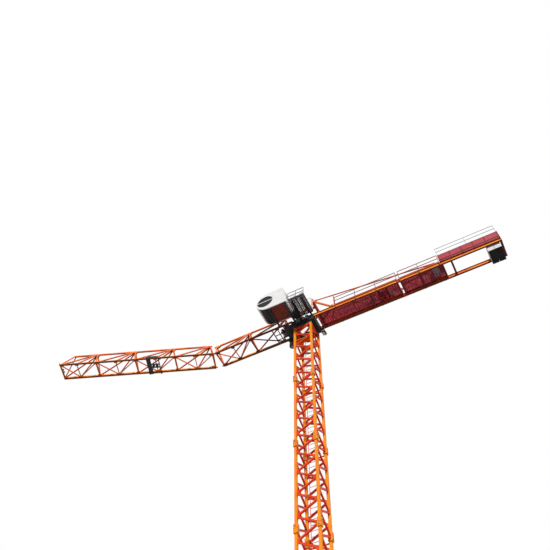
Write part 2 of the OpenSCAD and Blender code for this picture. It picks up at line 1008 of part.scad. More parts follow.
module handrails() {
    color(grey) {
        rail_run(inner_rail_xs);
        rail_run(outer_rail_xs);
        sign_frame();
    }
}

winch_x = counter_joint - winch_back;
winch_plate_t = 60;
winch_rim = 50;
winch_half = drum_r + 90;

// Hoist winch: drum between two cheek plates, on two bars across the beams
module winch() {
    z = beam_top + drum_h;
    cheek = drum_l / 2 + winch_rim;
    color(dark)
        translate([winch_x, winch_side, z])
            rotate([90, 0, 0]) {
                translate([0, 0, -drum_l / 2])
                    cylinder(r = drum_r, h = drum_l);
                for (s = [-drum_l / 2 - 20, drum_l / 2])
                    translate([0, 0, s])
                        cylinder(r = drum_r + winch_rim, h = 20);
                translate([0, 0, -cheek - 20])
                    cylinder(r = drum_r / 4, h = 2 * cheek + 40);
            }
    color(dark)
        for (y = [-cheek - winch_plate_t, cheek])
            translate([winch_x - winch_half, winch_side + y, beam_top])
                cube([2 * winch_half, winch_plate_t, drum_h + 40]);
    color(dark)
        for (x = [winch_x - winch_half, winch_x + winch_half - 2 * winch_rim])
            box([x, -beam_y, beam_top], [x + 2 * winch_rim, beam_y, beam_top + 40]);
}

module motor_housing() {
    color(grey)
        translate([housing_x, -housing_w / 2, deck_top])
            cube([housing_l, housing_w, housing_h]);
}

frame_bar = 60;
frame_out = 20;
strip_gap = 30;

// Bare bars of a sign frame, on the beam behind the parapet panel
module sign_frame() {
    y = beam_y + beam_flange / 2 - sign_bar;
    last = counter_l - frame_bar;
    for (x = [panel_x, (panel_x + last) / 2, last])
        box([x, -y, beam_top], [x + sign_bar, -y + sign_bar, beam_top + sign_h]);
    for (z = [sign_h * 3 / 4, sign_h - sign_bar])
        box([panel_x, -y, beam_top + z], [last + sign_bar, -y + sign_bar, beam_top + z + sign_bar]);
}

// Parapet panel on frames, with a strip below it
module parapet_panel() {
    y = beam_y + beam_flange / 2;
    foot = beam_top - beam_flange_t;
    low = beam_top + panel_low;
    last = counter_l - frame_bar;
    frames = [for (x = [panel_x:panel_frame:last - 2 * frame_bar]) x];
    color(red) {
        box([panel_x, -y - panel_t, low], [counter_l, -y, low + panel_h]);
        box([panel_x, -y - panel_t, foot], [counter_l, -y, low - strip_gap]);
        for (x = concat(frames, [last]))
            box([x, -y - panel_t - frame_out, foot], [x + frame_bar, -y - panel_t / 2, low + panel_h]);
    }
}

slab_x = counter_l - cross_w - 60 - 2 * slab_t - slab_gap;

// Slabs between the beams, hung by shoulders that stand on the top flanges
module ballast_slabs() {
    color(concrete)
        for (x = [slab_x, slab_x + slab_t + slab_gap]) {
            box([x, -deck_half + 20, beam_top - slab_h], [x + slab_t, deck_half - 20, beam_top + shoulder_h]);
            box([x, -beam_y - 40, beam_top], [x + slab_t, beam_y + 40, beam_top + shoulder_h]);
        }
}

// Outline of the cab's side: flat floor, round nose, leaning rear edge
module cab_outline() {
    translate([cab_nose_x, cab_axis_z])
        circle(r = cab_nose_r, $fn = 96);
    cab_trunk(0);
}

// The part of the outline behind the nose, drawn in by a distance
module cab_trunk(inset) {
    low = cab_axis_z - cab_nose_r + inset;
    top = cab_axis_z + cab_nose_r - inset;
    rear = -cab_rear - inset / cos(atan(cab_lean / cab_h));
    lean = cab_lean / cab_h;
    polygon([
        [cab_nose_x, low],
        [rear - inset * lean, low],
        [rear - cab_lean + inset * lean, top],
        [cab_nose_x, top]]);
}

// Draws an outline upright, from y1 to y2
module cab_slice(y1, y2) {
    translate([0, y2, 0])
        rotate([90, 0, 0])
            linear_extrude(y2 - y1)
                children();
}

module cab_side() {
    difference() {
        cab_outline();
        translate([porthole_x, cab_axis_z])
            circle(r = porthole_r, $fn = 96);
    }
}

module cab_side_near() {
    color(white)
        cab_slice(cab_near, cab_near + cab_wall)
            cab_side();
}

module cab_side_far() {
    color(white)
        cab_slice(cab_far - cab_wall, cab_far)
            cab_side();
}

// Floor, rear wall and roof, bent from one sheet and open at the nose
module cab_body() {
    color(white)
        cab_slice(cab_near + cab_wall, cab_far - cab_wall)
            difference() {
                cab_trunk(0);
                intersection() {
                    cab_trunk(cab_wall);
                    translate([cab_nose_x + 0.5, cab_floor_z])
                        square([cab_floor_l, cab_h]);
                }
                translate([cab_nose_x - 1, cab_floor_z + cab_wall])
                    square([2, cab_h - 2 * cab_wall]);
            }
}

// Curved glass round the nose
module cab_front_glass() {
    color(dark)
        cab_slice(cab_near + cab_wall, cab_far - cab_wall)
            difference() {
                intersection() {
                    translate([cab_nose_x, cab_axis_z])
                        circle(r = cab_nose_r - glass_set, $fn = 96);
                    translate([cab_nose_x - cab_nose_r, cab_floor_z])
                        square([cab_nose_r, cab_h]);
                }
                translate([cab_nose_x, cab_axis_z])
                    circle(r = cab_nose_r - glass_set - glass_t, $fn = 96);
            }
}

module cab_side_glass() {
    color(dark)
        for (y = [cab_near + cab_wall / 2, cab_far - cab_wall / 2])
            translate([porthole_x, y + glass_t / 2, cab_axis_z])
                rotate([90, 0, 0])
                    cylinder(r = porthole_r, h = glass_t, $fn = 96);
}

platform_z = mast_top + 930;
platform_t = 60;
platform_x1 = -cab_rear + 90;
platform_x2 = table_rear + 30;
platform_y1 = cab_near;
platform_y2 = -chord_y - chord_w;
platform_joists = 5;
cabinet_in = 80;
joist_w = 50;
bearer = 100;
bearer_in = -chord_y + girder_w / 2;

// Open platform frame behind the cab on two bearers, and the two beams under the cab
module cab_platform() {
    pitch = (platform_x2 - platform_x1 - joist_w) / (platform_joists - 1);
    cab_beams = [-cab_rear - 2 * bearer, cab_nose_x];
    color(dark) {
        for (y = [platform_y1, platform_y2 - joist_w])
            box([platform_x1, y, platform_z], [platform_x2, y + joist_w, platform_z + platform_t]);
        for (k = [0:1:platform_joists - 1])
            translate([platform_x1 + k * pitch, 0, 0])
                box([0, platform_y1, platform_z], [joist_w, platform_y2, platform_z + platform_t]);
        for (x = [platform_x1 + 2 * bearer, table_rear - 2 * bearer])
            box([x, platform_y1 + bearer, table_top], [x + bearer, bearer_in, platform_z + 1]);
        box([cab_beams[0], cab_near + bearer, table_top], [cab_beams[0] + bearer, bearer_in, cab_floor_z]);
        box([cab_beams[1], cab_near + bearer, chord_z + chord_w / 2],
            [cab_beams[1] + bearer, bearer_in, cab_floor_z]);
    }
}

module platform_rail() {
    y = platform_y1 + rail_w;
    base = platform_z + platform_t;
    color(grey) {
        for (x = [platform_x1, (platform_x1 + platform_x2) / 2, platform_x2 - rail_w])
            box([x, y - rail_w, base], [x + rail_w, y, base + rail_h]);
        for (z = [rail_h / 2, rail_h - rail_w])
            box([platform_x1, y - rail_w, base + z], [platform_x2, y, base + z + rail_w]);
    }
}

// Two cabinets on the platform, the rear one lower, and a tall one beside the turntable
module control_cabinets() {
    base = platform_z + platform_t;
    tall_y = platform_y2 - joist_w;
    color(white) {
        for (k = [0, 1])
            translate([platform_x1 + cabinet_in + k * (cabinet_w + cabinet_gap), -cabinet_y - cabinet_d, base])
                cube([cabinet_w, cabinet_d, cabinet_h * (1 - k * 0.2)]);
        translate([platform_x2 - cabinet_w, tall_y - tall_cabinet_w, base])
            cube([cabinet_w, tall_cabinet_w, tall_cabinet_h]);
    }
}

base_frame();
base_struts();
mast_side_near();
mast_side_counter();
mast_side_far();
mast_side_jib();
top_landing();
mast_head();
fixed_race();
turning_race();
turntable();
slewing_motor();
flood_lamp();
jib_side_near();
jib_side_far();
jib_bottom_bracing();
jib_top_chord();
splice_pin();
trolley_winch();
tower_head();
counter_beam_near();
counter_beam_far();
counter_cross_beams();
deck_inner();
deck_outer();
counter_ties();
handrails();
winch();
motor_housing();
parapet_panel();
ballast_slabs();
cab_side_near();
cab_side_far();
cab_body();
cab_front_glass();
cab_side_glass();
cab_platform();
platform_rail();
control_cabinets();
outer_side_near();
outer_side_far();
outer_bottom_bracing();
outer_top_chord();
trolley_frame();
trolley_wheels();
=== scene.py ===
import json
import math
import bpy
import bmesh
from mathutils import Matrix, Vector


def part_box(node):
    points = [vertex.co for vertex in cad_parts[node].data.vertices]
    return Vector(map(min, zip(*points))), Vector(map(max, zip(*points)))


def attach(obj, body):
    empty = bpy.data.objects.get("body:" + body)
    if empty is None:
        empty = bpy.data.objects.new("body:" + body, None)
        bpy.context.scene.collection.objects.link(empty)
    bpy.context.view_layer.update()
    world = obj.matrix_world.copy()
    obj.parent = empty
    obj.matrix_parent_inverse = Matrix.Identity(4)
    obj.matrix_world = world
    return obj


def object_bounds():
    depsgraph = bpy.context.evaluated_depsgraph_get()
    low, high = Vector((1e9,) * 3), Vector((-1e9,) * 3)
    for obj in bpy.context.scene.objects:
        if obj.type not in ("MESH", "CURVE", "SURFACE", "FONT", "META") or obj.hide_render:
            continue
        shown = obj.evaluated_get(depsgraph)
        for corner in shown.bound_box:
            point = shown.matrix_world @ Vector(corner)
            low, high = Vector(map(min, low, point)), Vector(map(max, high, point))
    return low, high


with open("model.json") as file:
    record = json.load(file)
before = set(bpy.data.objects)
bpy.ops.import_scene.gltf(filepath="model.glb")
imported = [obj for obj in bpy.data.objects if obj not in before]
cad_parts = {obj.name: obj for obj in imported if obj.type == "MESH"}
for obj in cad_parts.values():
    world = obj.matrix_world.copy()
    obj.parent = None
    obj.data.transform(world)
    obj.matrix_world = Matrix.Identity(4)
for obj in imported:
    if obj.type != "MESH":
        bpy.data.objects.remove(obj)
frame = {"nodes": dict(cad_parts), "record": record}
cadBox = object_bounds()
cadNodes = frame["nodes"]
print("frame loaded:", len(cadNodes), "nodes")

# Main sizes, in metres: the jib lies along -X, and the cab is on the -Y side
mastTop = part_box("mast_head")[0].z
mastHalf = 0.57
chordRise = 0.866
chordZ = mastTop + chordRise
jibHalf = 0.59
spliceX = -6.75
splicePlace = Vector((spliceX, 0, chordZ))
pinOffset = Vector((0, jibHalf, 0))
joints = {joint["name"]: joint for joint in frame["record"]["behaviour"]["joints"]}
swing = math.radians(-joints["jib_swing"]["range_deg"][0])


# Materials

paints = {
    "gold": {"light": (0.95, 0.32, 0.012), "dark": (0.84, 0.20, 0.010), "rough": 0.5},
    "amber": {"light": (0.92, 0.25, 0.010), "dark": (0.78, 0.14, 0.008), "rough": 0.5},
    "orange": {"light": (0.86, 0.17, 0.008), "dark": (0.66, 0.085, 0.006), "rough": 0.5},
    "red": {"light": (0.58, 0.028, 0.008), "dark": (0.34, 0.013, 0.007), "rough": 0.5},
    "vermilion": {"light": (0.84, 0.070, 0.010), "dark": (0.62, 0.040, 0.008), "rough": 0.5},
    "darkRed": {"light": (0.20, 0.010, 0.008), "dark": (0.11, 0.007, 0.007), "rough": 0.5},
    "crimson": {"light": (0.46, 0.036, 0.056), "dark": (0.32, 0.020, 0.032), "rough": 0.5},
    "rail": {"light": (0.36, 0.10, 0.10), "dark": (0.22, 0.05, 0.05), "rough": 0.5},
    "deck": {"light": (0.56, 0.055, 0.085), "dark": (0.33, 0.032, 0.050), "rough": 0.6},
    "dark": {"light": (0.030, 0.027, 0.029), "dark": (0.012, 0.011, 0.012), "rough": 0.5},
    "rubber": {"light": (0.014, 0.014, 0.015), "dark": (0.008, 0.008, 0.008), "rough": 0.7},
    "grey": {"light": (0.36, 0.39, 0.42), "dark": (0.20, 0.22, 0.25), "rough": 0.45},
    "white": {"light": (0.86, 0.86, 0.85), "dark": (0.72, 0.71, 0.68), "rough": 0.35},
    "floorBrown": {"light": (0.30, 0.055, 0.032), "dark": (0.20, 0.034, 0.022), "rough": 0.6},
}


weathering = {
    "fadingScale": 1.3,
    "streakScale": 9,
    "streakStretch": (1, 1, 0.12),
    "fadingShare": 0.6,
    "darkTo": 0.36,
    "lightFrom": 0.58,
    "grainScale": 60,
    "grainStrength": 0.15,
    "grainDepth": 0.002,
    "roughSpread": 0.08,
}


def newMaterial(name):
    mat = bpy.data.materials.new(name)
    mat.use_nodes = True
    tree = mat.node_tree
    shader = tree.nodes["Principled BSDF"]
    shader.inputs["Specular IOR Level"].default_value = 0.2
    coords = tree.nodes.new("ShaderNodeTexCoord")
    return mat, tree, shader, coords.outputs["Object"]


def noiseTexture(tree, vector, scale, detail=4.0, stretch=(1, 1, 1)):
    mapping = tree.nodes.new("ShaderNodeMapping")
    mapping.inputs["Scale"].default_value = stretch
    tree.links.new(vector, mapping.inputs["Vector"])
    noise = tree.nodes.new("ShaderNodeTexNoise")
    noise.inputs["Scale"].default_value = scale
    noise.inputs["Detail"].default_value = detail
    tree.links.new(mapping.outputs["Vector"], noise.inputs["Vector"])
    return noise.outputs["Fac"]


def ramp(tree, value, low, high, lowColor=(0, 0, 0), highColor=(1, 1, 1)):
    node = tree.nodes.new("ShaderNodeValToRGB")
    node.color_ramp.elements[0].position = low
    node.color_ramp.elements[1].position = high
    node.color_ramp.elements[0].color = (*lowColor, 1)
    node.color_ramp.elements[1].color = (*highColor, 1)
    tree.links.new(value, node.inputs["Fac"])
    return node.outputs["Color"]


def mathNode(tree, operation, a, b=None):
    node = tree.nodes.new("ShaderNodeMath")
    node.operation = operation
    for socket, value in zip(node.inputs, (a, b)):
        if value is None:
            continue
        if isinstance(value, (int, float)):
            socket.default_value = value
        else:
            tree.links.new(value, socket)
    return node.outputs[0]


def addShares(tree, first, second, share):
    # sum of two values, of which the first has the given share
    return mathNode(tree, "ADD", mathNode(tree, "MULTIPLY", first, share),
                    mathNode(tree, "MULTIPLY", second, 1 - share))


def vectorNode(tree, operation, vector, constant):
    node = tree.nodes.new("ShaderNodeVectorMath")
    node.operation = operation
    node.inputs[1].default_value = constant
    tree.links.new(vector, node.inputs[0])
    return node.outputs


def splitVector(tree, vector):
    node = tree.nodes.new("ShaderNodeSeparateXYZ")
    tree.links.new(vector, node.inputs[0])
    return node.outputs


def mixColors(tree, factor, a, b):
    node = tree.nodes.new("ShaderNodeMix")
    node.data_type = "RGBA"
    tree.links.new(factor, node.inputs["Factor"])
    for socket, value in ((node.inputs["A"], a), (node.inputs["B"], b)):
        if isinstance(value, tuple):
            socket.default_value = (*value, 1)
        else:
            tree.links.new(value, socket)
    return node.outputs["Result"]


def paintColors(tree, vector, paint):
    # weathered paint: broad fading and streaks that run down
    fading = noiseTexture(tree, vector, weathering["fadingScale"], 5)
    streaks = noiseTexture(tree, vector, weathering["streakScale"], 3, weathering["streakStretch"])
    both = addShares(tree, fading, streaks, weathering["fadingShare"])
    return ramp(tree, both, weathering["darkTo"], weathering["lightFrom"], paint["dark"], paint["light"])


def mixPaints(tree, vector, factor, first, second):
    return mixColors(tree, factor, paintColors(tree, vector, first), paintColors(tree, vector, second))


def addBump(tree, shader, height, strength, distance):
    bump = tree.nodes.new("ShaderNodeBump")
    bump.inputs["Strength"].default_value = strength
    bump.inputs["Distance"].default_value = distance
    tree.links.new(height, bump.inputs["Height"])
    tree.links.new(bump.outputs["Normal"], shader.inputs["Normal"])


def applyPaint(tree, shader, vector, color, paint):
    # the colour, with a fine grain in its gloss and surface
    tree.links.new(color, shader.inputs["Base Color"])
    grain = noiseTexture(tree, vector, weathering["grainScale"], 2)
    low = paint["rough"] - weathering["roughSpread"]
    high = paint["rough"] + weathering["roughSpread"]
    tree.links.new(ramp(tree, grain, 0.3, 0.7, (low,) * 3, (high,) * 3), shader.inputs["Roughness"])
    addBump(tree, shader, grain, weathering["grainStrength"], weathering["grainDepth"])


def paintMaterial(name, paint):
    mat, tree, shader, vector = newMaterial(name)
    applyPaint(tree, shader, vector, paintColors(tree, vector, paint), paint)
    return mat


def mastMaterial(name, legPaint, lacingPaint, legInner):
    # painted light: the legs are gold, a lighter copy of the crane's one orange-red paint, as painted
    # sunlight; the lacing between them is the deeper vermilion
    mat, tree, shader, vector = newMaterial(name)
    axes = splitVector(tree, vector)
    sides = [mathNode(tree, "ABSOLUTE", axes[axis]) for axis in "XY"]
    away = [mathNode(tree, "GREATER_THAN", side, legInner) for side in sides]
    leg = mathNode(tree, "MULTIPLY", *away)
    applyPaint(tree, shader, vector, mixPaints(tree, vector, leg, lacingPaint, legPaint), legPaint)
    return mat


def shadeUnderside(tree, color, paintedShadeColor):
    # painted shade on the faces that look down
    geometry = tree.nodes.new("ShaderNodeNewGeometry")
    upward = splitVector(tree, geometry.outputs["Normal"])["Z"]
    down = ramp(tree, mathNode(tree, "MULTIPLY", upward, -1), 0.4, 0.8)
    return mixColors(tree, down, color, paintedShadeColor)


def splitMaterial(name, axis, limit, paintBelow, paintAbove, paintedShadeColor=None):
    # one paint up to a limit along an axis, another beyond it
    mat, tree, shader, vector = newMaterial(name)
    above = mathNode(tree, "GREATER_THAN", splitVector(tree, vector)[axis], limit)
    color = mixPaints(tree, vector, above, paintBelow, paintAbove)
    # painted shade on the faces that look down, where a shade colour is given
    if paintedShadeColor:
        color = shadeUnderside(tree, color, paintedShadeColor)
    applyPaint(tree, shader, vector, color, paintBelow)
    return mat


def bandMaterial(name, axis, middle, half, paintInside, paintOutside):
    # one paint within a band along an axis, another beside it
    mat, tree, shader, vector = newMaterial(name)
    offset = mathNode(tree, "SUBTRACT", splitVector(tree, vector)[axis], middle)
    outside = mathNode(tree, "GREATER_THAN", mathNode(tree, "ABSOLUTE", offset), half)
    paint = mixPaints(tree, vector, outside, paintInside, paintOutside)
    applyPaint(tree, shader, vector, paint, paintInside)
    return mat


chordEdges = {"top": 0.052, "flange": 0.641}


def chordMaterial(name, middle, across, paintedShadeColor, unshadedTo):
    # painted light: the chords are gold, a lighter copy of the lacing's orange paint, as painted sunlight,
    # and the faces that look down take painted shade; the flanges that the trolley's wheels run on are left
    # without the painted shade up to a limit along X
    mat, tree, shader, vector = newMaterial(name)
    axes = splitVector(tree, vector)
    above = mathNode(tree, "GREATER_THAN", axes["Z"], chordZ + chordEdges["top"])
    offset = vectorNode(tree, "SUBTRACT", vector, middle)["Vector"]
    side = vectorNode(tree, "DOT_PRODUCT", offset, across)["Value"]
    flange = mathNode(tree, "GREATER_THAN", mathNode(tree, "ABSOLUTE", side), chordEdges["flange"])
    unshadedFlange = mathNode(tree, "MULTIPLY", flange, mathNode(tree, "LESS_THAN", axes["X"], unshadedTo))
    paint = mixPaints(tree, vector, above, paints["gold"], paints["orange"])
    under = shadeUnderside(tree, paint, paintedShadeColor)
    applyPaint(tree, shader, vector, mixColors(tree, unshadedFlange, under, paint), paints["gold"])
    return mat


def glassMaterial(name):
    mat, tree, shader, vector = newMaterial(name)
    shade = noiseTexture(tree, vector, 0.8, 2)
    tree.links.new(ramp(tree, shade, 0.35, 0.65, (0.004, 0.005, 0.007), (0.010, 0.012, 0.015)),
                   shader.inputs["Base Color"])
    shader.inputs["Roughness"].default_value = 0.12
    shader.inputs["Specular IOR Level"].default_value = 0.12
    return mat


def lensMaterial(name):
    mat, _, shader, _ = newMaterial(name)
    shader.inputs["Base Color"].default_value = (0.85, 0.87, 0.88, 1)
    shader.inputs["Roughness"].default_value = 0.15
    shader.inputs["Coat Weight"].default_value = 0.5
    return mat


def concreteMaterial(name, shadeTop):
    # cast concrete, with near-black painted shade on its underside
    mat, tree, shader, vector = newMaterial(name)
    patches = noiseTexture(tree, vector, 2.2, 8)
    pores = noiseTexture(tree, vector, 45, 4)
    both = addShares(tree, patches, pores, 0.7)
    bareConcrete = ramp(tree, both, 0.35, 0.65, (0.66, 0.65, 0.62), (0.90, 0.89, 0.86))
    shadeTone = ramp(tree, both, 0.35, 0.65, (0.012, 0.012, 0.013), (0.028, 0.027, 0.027))
    under = mathNode(tree, "LESS_THAN", splitVector(tree, vector)["Z"], shadeTop)
    tree.links.new(mixColors(tree, under, bareConcrete, shadeTone), shader.inputs["Base Color"])
    shader.inputs["Roughness"].default_value = 0.9
    addBump(tree, shader, pores, 0.5, 0.006)
    return mat


# Where one paint gives way to another, and the painted shade on undersides
paintEdges = {
    "legInner": 0.46,
    "innerUnshadedTo": -4.4,
    "outerUnshadedTo": 0,
    "rootBracing": -4.3,
    "sillMiddle": -0.36,
    "sillHalf": 0.095,
    "panelFace": -0.663,
    "railEnd": 9.47,
    "shadeRise": 0.004,
}
# colours of the painted shade on the faces that look down
undersideShades = {"innerJib": (0.10, 0.018, 0.010), "outerJib": (0.16, 0.022, 0.010), "beam": (0.13, 0.014, 0.010)}

outerAcross = Vector((-math.sin(swing), math.cos(swing), 0))
outerMiddle = splicePlace - pinOffset + outerAcross * jibHalf
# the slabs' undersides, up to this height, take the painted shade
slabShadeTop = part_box("ballast_slabs")[0].z + paintEdges["shadeRise"]
finishes = {key: paintMaterial(key + "Paint", paint) for key, paint in paints.items()}
finishes["mast"] = mastMaterial("mastPaint", paints["gold"], paints["vermilion"], paintEdges["legInner"])
finishes["innerJib"] = chordMaterial("innerJibPaint", splicePlace, (0, 1, 0), undersideShades["innerJib"],
                                     paintEdges["innerUnshadedTo"])
finishes["outerJib"] = chordMaterial("outerJibPaint", outerMiddle, outerAcross, undersideShades["outerJib"],
                                     paintEdges["outerUnshadedTo"])
# painted shadow: the bottom bracing on the mast's side of this limit is dark red, where the cab's shadow
# falls
finishes["rootBracing"] = splitMaterial("rootBracingPaint", "X", paintEdges["rootBracing"],
                                        paints["orange"], paints["darkRed"])
# painted light: the near beam is gold as painted sunlight, the far beam the darker amber as painted shade,
# and both take painted shade on the faces that look down
finishes["beam"] = splitMaterial("beamPaint", "Y", 0, paints["gold"], paints["amber"], undersideShades["beam"])
finishes["sill"] = bandMaterial("sillPaint", "X", paintEdges["sillMiddle"], paintEdges["sillHalf"],
                                paints["white"], paints["dark"])
finishes["panel"] = splitMaterial("panelPaint", "Y", paintEdges["panelFace"],
                                  paints["darkRed"], paints["crimson"])
finishes["rails"] = splitMaterial("railPaint", "X", paintEdges["railEnd"], paints["rail"], paints["grey"])
finishes["glass"] = glassMaterial("tintedGlass")
finishes["lens"] = lensMaterial("lampGlass")
finishes["concrete"] = concreteMaterial("castConcrete", slabShadeTop)
print("materials ready:", len(finishes))

nodeFinish = {
    "mast": ("mast_side_near", "mast_side_counter", "mast_side_far", "mast_side_jib"),
    "beam": ("counter_beam_near", "counter_beam_far"),
    "orange": ("base_frame", "base_struts", "jib_top_chord", "tower_head", "counter_ties", "outer_top_chord",
               "outer_bottom_bracing"),
    "rootBracing": ("jib_bottom_bracing",),
    "innerJib": ("jib_side_near", "jib_side_far"),
    "outerJib": ("outer_side_near", "outer_side_far"),
    "sill": ("cab_platform",),
    "gold": ("top_landing",),
    "darkRed": ("counter_cross_beams",),
    "panel": ("parapet_panel",),
    "rails": ("handrails",),
    "deck": ("deck_inner", "deck_outer"),
    "dark": ("mast_head", "turntable", "slewing_motor", "flood_lamp", "trolley_winch", "winch",
             "trolley_frame"),
    "grey": ("fixed_race", "turning_race", "splice_pin", "motor_housing", "platform_rail", "trolley_wheels"),
    "white": ("cab_side_near", "cab_side_far", "cab_body", "control_cabinets"),
    "glass": ("cab_front_glass", "cab_side_glass"),
    "concrete": ("ballast_slabs",),
}
for key, names in nodeFinish.items():
    for name in names:
        mesh = cadNodes[name].data
        mesh.materials.clear()
        mesh.materials.append(finishes[key])
print("frame painted")


# Shapes and pieces


def vertsOf(geometry):
    return [v for v in geometry if isinstance(v, bmesh.types.BMVert)]


def addBox(bm, first, second):
    # box between any two opposite corners
    size = [abs(b - a) for a, b in zip(first, second)]
    centre = [(a + b) / 2 for a, b in zip(first, second)]
    matrix = Matrix.Translation(centre) @ Matrix.Diagonal((*size, 1))
    return bmesh.ops.create_cube(bm, size=1, matrix=matrix)["verts"]


def addRod(bm, start, end, radius, segments=16):
    start, end = Vector(start), Vector(end)
    turn = (end - start).to_track_quat("Z", "Y").to_matrix().to_4x4()
    return bmesh.ops.create_cone(
        bm, cap_ends=True, segments=segments, radius1=radius, radius2=radius,
        depth=(end - start).length, matrix=Matrix.Translation((start + end) / 2) @ turn)["verts"]


def addBar(bm, start, end, width, depth):
    # flat or square bar between two points, with its width level
    start, end = Vector(start), Vector(end)
    along = (end - start).normalized()
    level = along.cross(Vector((0, 0, 1))).normalized()
    turn = Matrix((level, along, level.cross(along))).transposed().to_4x4()
    scale = Matrix.Diagonal((width, (end - start).length, depth, 1))
    matrix = Matrix.Translation((start + end) / 2) @ turn @ scale
    return bmesh.ops.create_cube(bm, size=1, matrix=matrix)["verts"]


def addPlate(bm, points, through):
    # plate of any outline, given its corners and the step through its thickness
    corners = [bm.verts.new(p) for p in points]
    grown = bmesh.ops.extrude_face_region(bm, geom=[bm.faces.new(corners)])["geom"]
    bmesh.ops.translate(bm, verts=vertsOf(grown), vec=through)


def addRing(bm, centre, axis, outer, inner, thick, segments=48):
    # flat ring about an axis, spun from its section
    axis = Vector(axis).normalized()
    side = axis.orthogonal().normalized()
    centre = Vector(centre)
    corners = [bm.verts.new(centre + side * r + axis * h)
               for r, h in ((inner, 0), (outer, 0), (outer, thick), (inner, thick))]
    edges = [bm.edges.new((corners[k], corners[(k + 1) % 4])) for k in range(4)]
    bmesh.ops.spin(bm, geom=corners + edges, cent=centre, axis=axis, angle=2 * math.pi, steps=segments,
                   use_merge=True, use_duplicate=False)


def addBolt(bm, place, axis, size):
    # washer and hexagon head on a surface
    place, axis = Vector(place), Vector(axis).normalized()
    addRod(bm, place, place + axis * size * 0.2, size * 1.1, 14)
    addRod(bm, place + axis * size * 0.2, place + axis * size * 0.9, size * 0.8, 6)


def repeatAround(bm, count):
    # copies of everything, evenly about the mast's axis
    source = bm.verts[:] + bm.edges[:] + bm.faces[:]
    for k in range(1, count):
        copied = bmesh.ops.duplicate(bm, geom=source)["geom"]
        turn = Matrix.Rotation(2 * math.pi * k / count, 3, "Z")
        bmesh.ops.rotate(bm, verts=vertsOf(copied), cent=(0, 0, 0), matrix=turn)


def repeatMirrored(bm):
    # a second copy of everything, on the other side of the crane's middle plane
    copied = bmesh.ops.duplicate(bm, geom=bm.verts[:] + bm.edges[:] + bm.faces[:])["geom"]
    bmesh.ops.scale(bm, verts=vertsOf(copied), vec=(1, -1, 1))


def finishPiece(name, bm, finish, body, bevel=0.0, place=None):
    if place is not None:
        bmesh.ops.transform(bm, matrix=place, verts=bm.verts)
    if bevel:
        bmesh.ops.bevel(bm, geom=bm.edges[:], offset=bevel, affect="EDGES", segments=2, profile=0.5,
                        material=-1)
    bmesh.ops.recalc_face_normals(bm, faces=bm.faces)
    mesh = bpy.data.meshes.new(name)
    bm.to_mesh(mesh)
    bm.free()
    mesh.materials.append(finishes[finish])
    obj = bpy.data.objects.new(name, mesh)
    bpy.context.collection.objects.link(obj)
    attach(obj, body)


# Mast

mast = {
    "foot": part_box("mast_side_near")[0].z,
    "sections": 6,
    "panels": 4,
    "leg": 0.13,
    "lacing": 0.085,
    "coupling": 0.21,
    "gussetThick": 0.01,
    "gussetReach": 0.15,
    "gussetCorner": 0.1,
    "pinOffset": 0.13,
    "pinRadius": 0.022,
    "pinOut": 0.03,
    "seam": 0.005,
    "ladderY": 0.15,
    "ladderHalf": 0.19,
    "railHalf": (0.008, 0.022),
    "rungStep": 0.3,
    "rungRadius": 0.013,
}
mast["section"] = (mastTop - mast["foot"]) / mast["sections"]
mast["joints"] = [mast["foot"] + k * mast["section"] for k in range(1, mast["sections"])]


def addMastGussets(size):
    # plates beside the legs, where the lacing's bars meet them
    bm = bmesh.new()
    step = size["section"] / size["panels"]
    outside = -mastHalf - size["lacing"] / 2
    inner = mastHalf - size["leg"] / 2
    reach, corner = size["gussetReach"], size["gussetCorner"]
    for k in range(1, size["sections"] * size["panels"] + 1):
        for side, z in ((1, size["foot"] + k * step), (-1, size["foot"] + (k - 0.5) * step)):
            top = min(z + reach, mastTop - 0.01)
            outline = ((inner, z - reach), (inner - corner, z - corner), (inner - reach, z - 0.02),
                       (inner - corner, min(z + corner, top)), (inner, top))
            addPlate(bm, [(side * x, outside, h) for x, h in outline], (0, -size["gussetThick"], 0))
    repeatAround(bm, 4)
    finishPiece("mastGussets", bm, "vermilion", "mast")


def addMastPins(size):
    # two crossing pins with heads through each coupling, and the seam between the sections
    pins, seams = bmesh.new(), bmesh.new()
    half = size["coupling"] / 2
    low, high = mastHalf - half - 0.002, mastHalf + half + 0.002
    for z in size["joints"]:
        for sign, axis in ((-1, Vector((1, 0, 0))), (1, Vector((0, 1, 0)))):
            middle = Vector((mastHalf, mastHalf, z + sign * size["pinOffset"]))
            reach = axis * (half + size["pinOut"])
            addRod(pins, middle - reach, middle + reach, size["pinRadius"])
            for side in (-1, 1):
                place = middle + axis * side * half
                addRod(pins, place, place + axis * side * 0.014, 0.04, 20)
        addBox(seams, (low, low, z - size["seam"]), (high, high, z + size["seam"]))
    repeatAround(pins, 4)
    repeatAround(seams, 4)
    finishPiece("mastPins", pins, "grey", "mast")
    finishPiece("mastSeams", seams, "dark", "mast")


def addLadder(size):
    # ladder inside the mast, held by a flat bar in each section
    bm = bmesh.new()
    low, high = size["foot"] + 0.1, mastTop + 0.1
    y, half = size["ladderY"], size["ladderHalf"]
    railX, railY = size["railHalf"]
    inner = mastHalf - size["leg"] / 2
    for x in (-half, half):
        addBox(bm, (x - railX, y - railY, low), (x + railX, y + railY, high))
    for k in range(int((high - low) / size["rungStep"])):
        z = low + 0.15 + k * size["rungStep"]
        addRod(bm, (-half, y, z), (half, y, z), size["rungRadius"], 10)
    for joint in [size["foot"] + 0.6] + size["joints"]:
        z = joint - 0.32
        addBox(bm, (-inner, mastHalf - 0.025, z), (inner, mastHalf + 0.025, z + 0.05))
        for x in (-half, half):
            addBox(bm, (x - 0.02, y, z + 0.015), (x + 0.02, mastHalf, z + 0.035))
    finishPiece("mastLadder", bm, "vermilion", "mast")


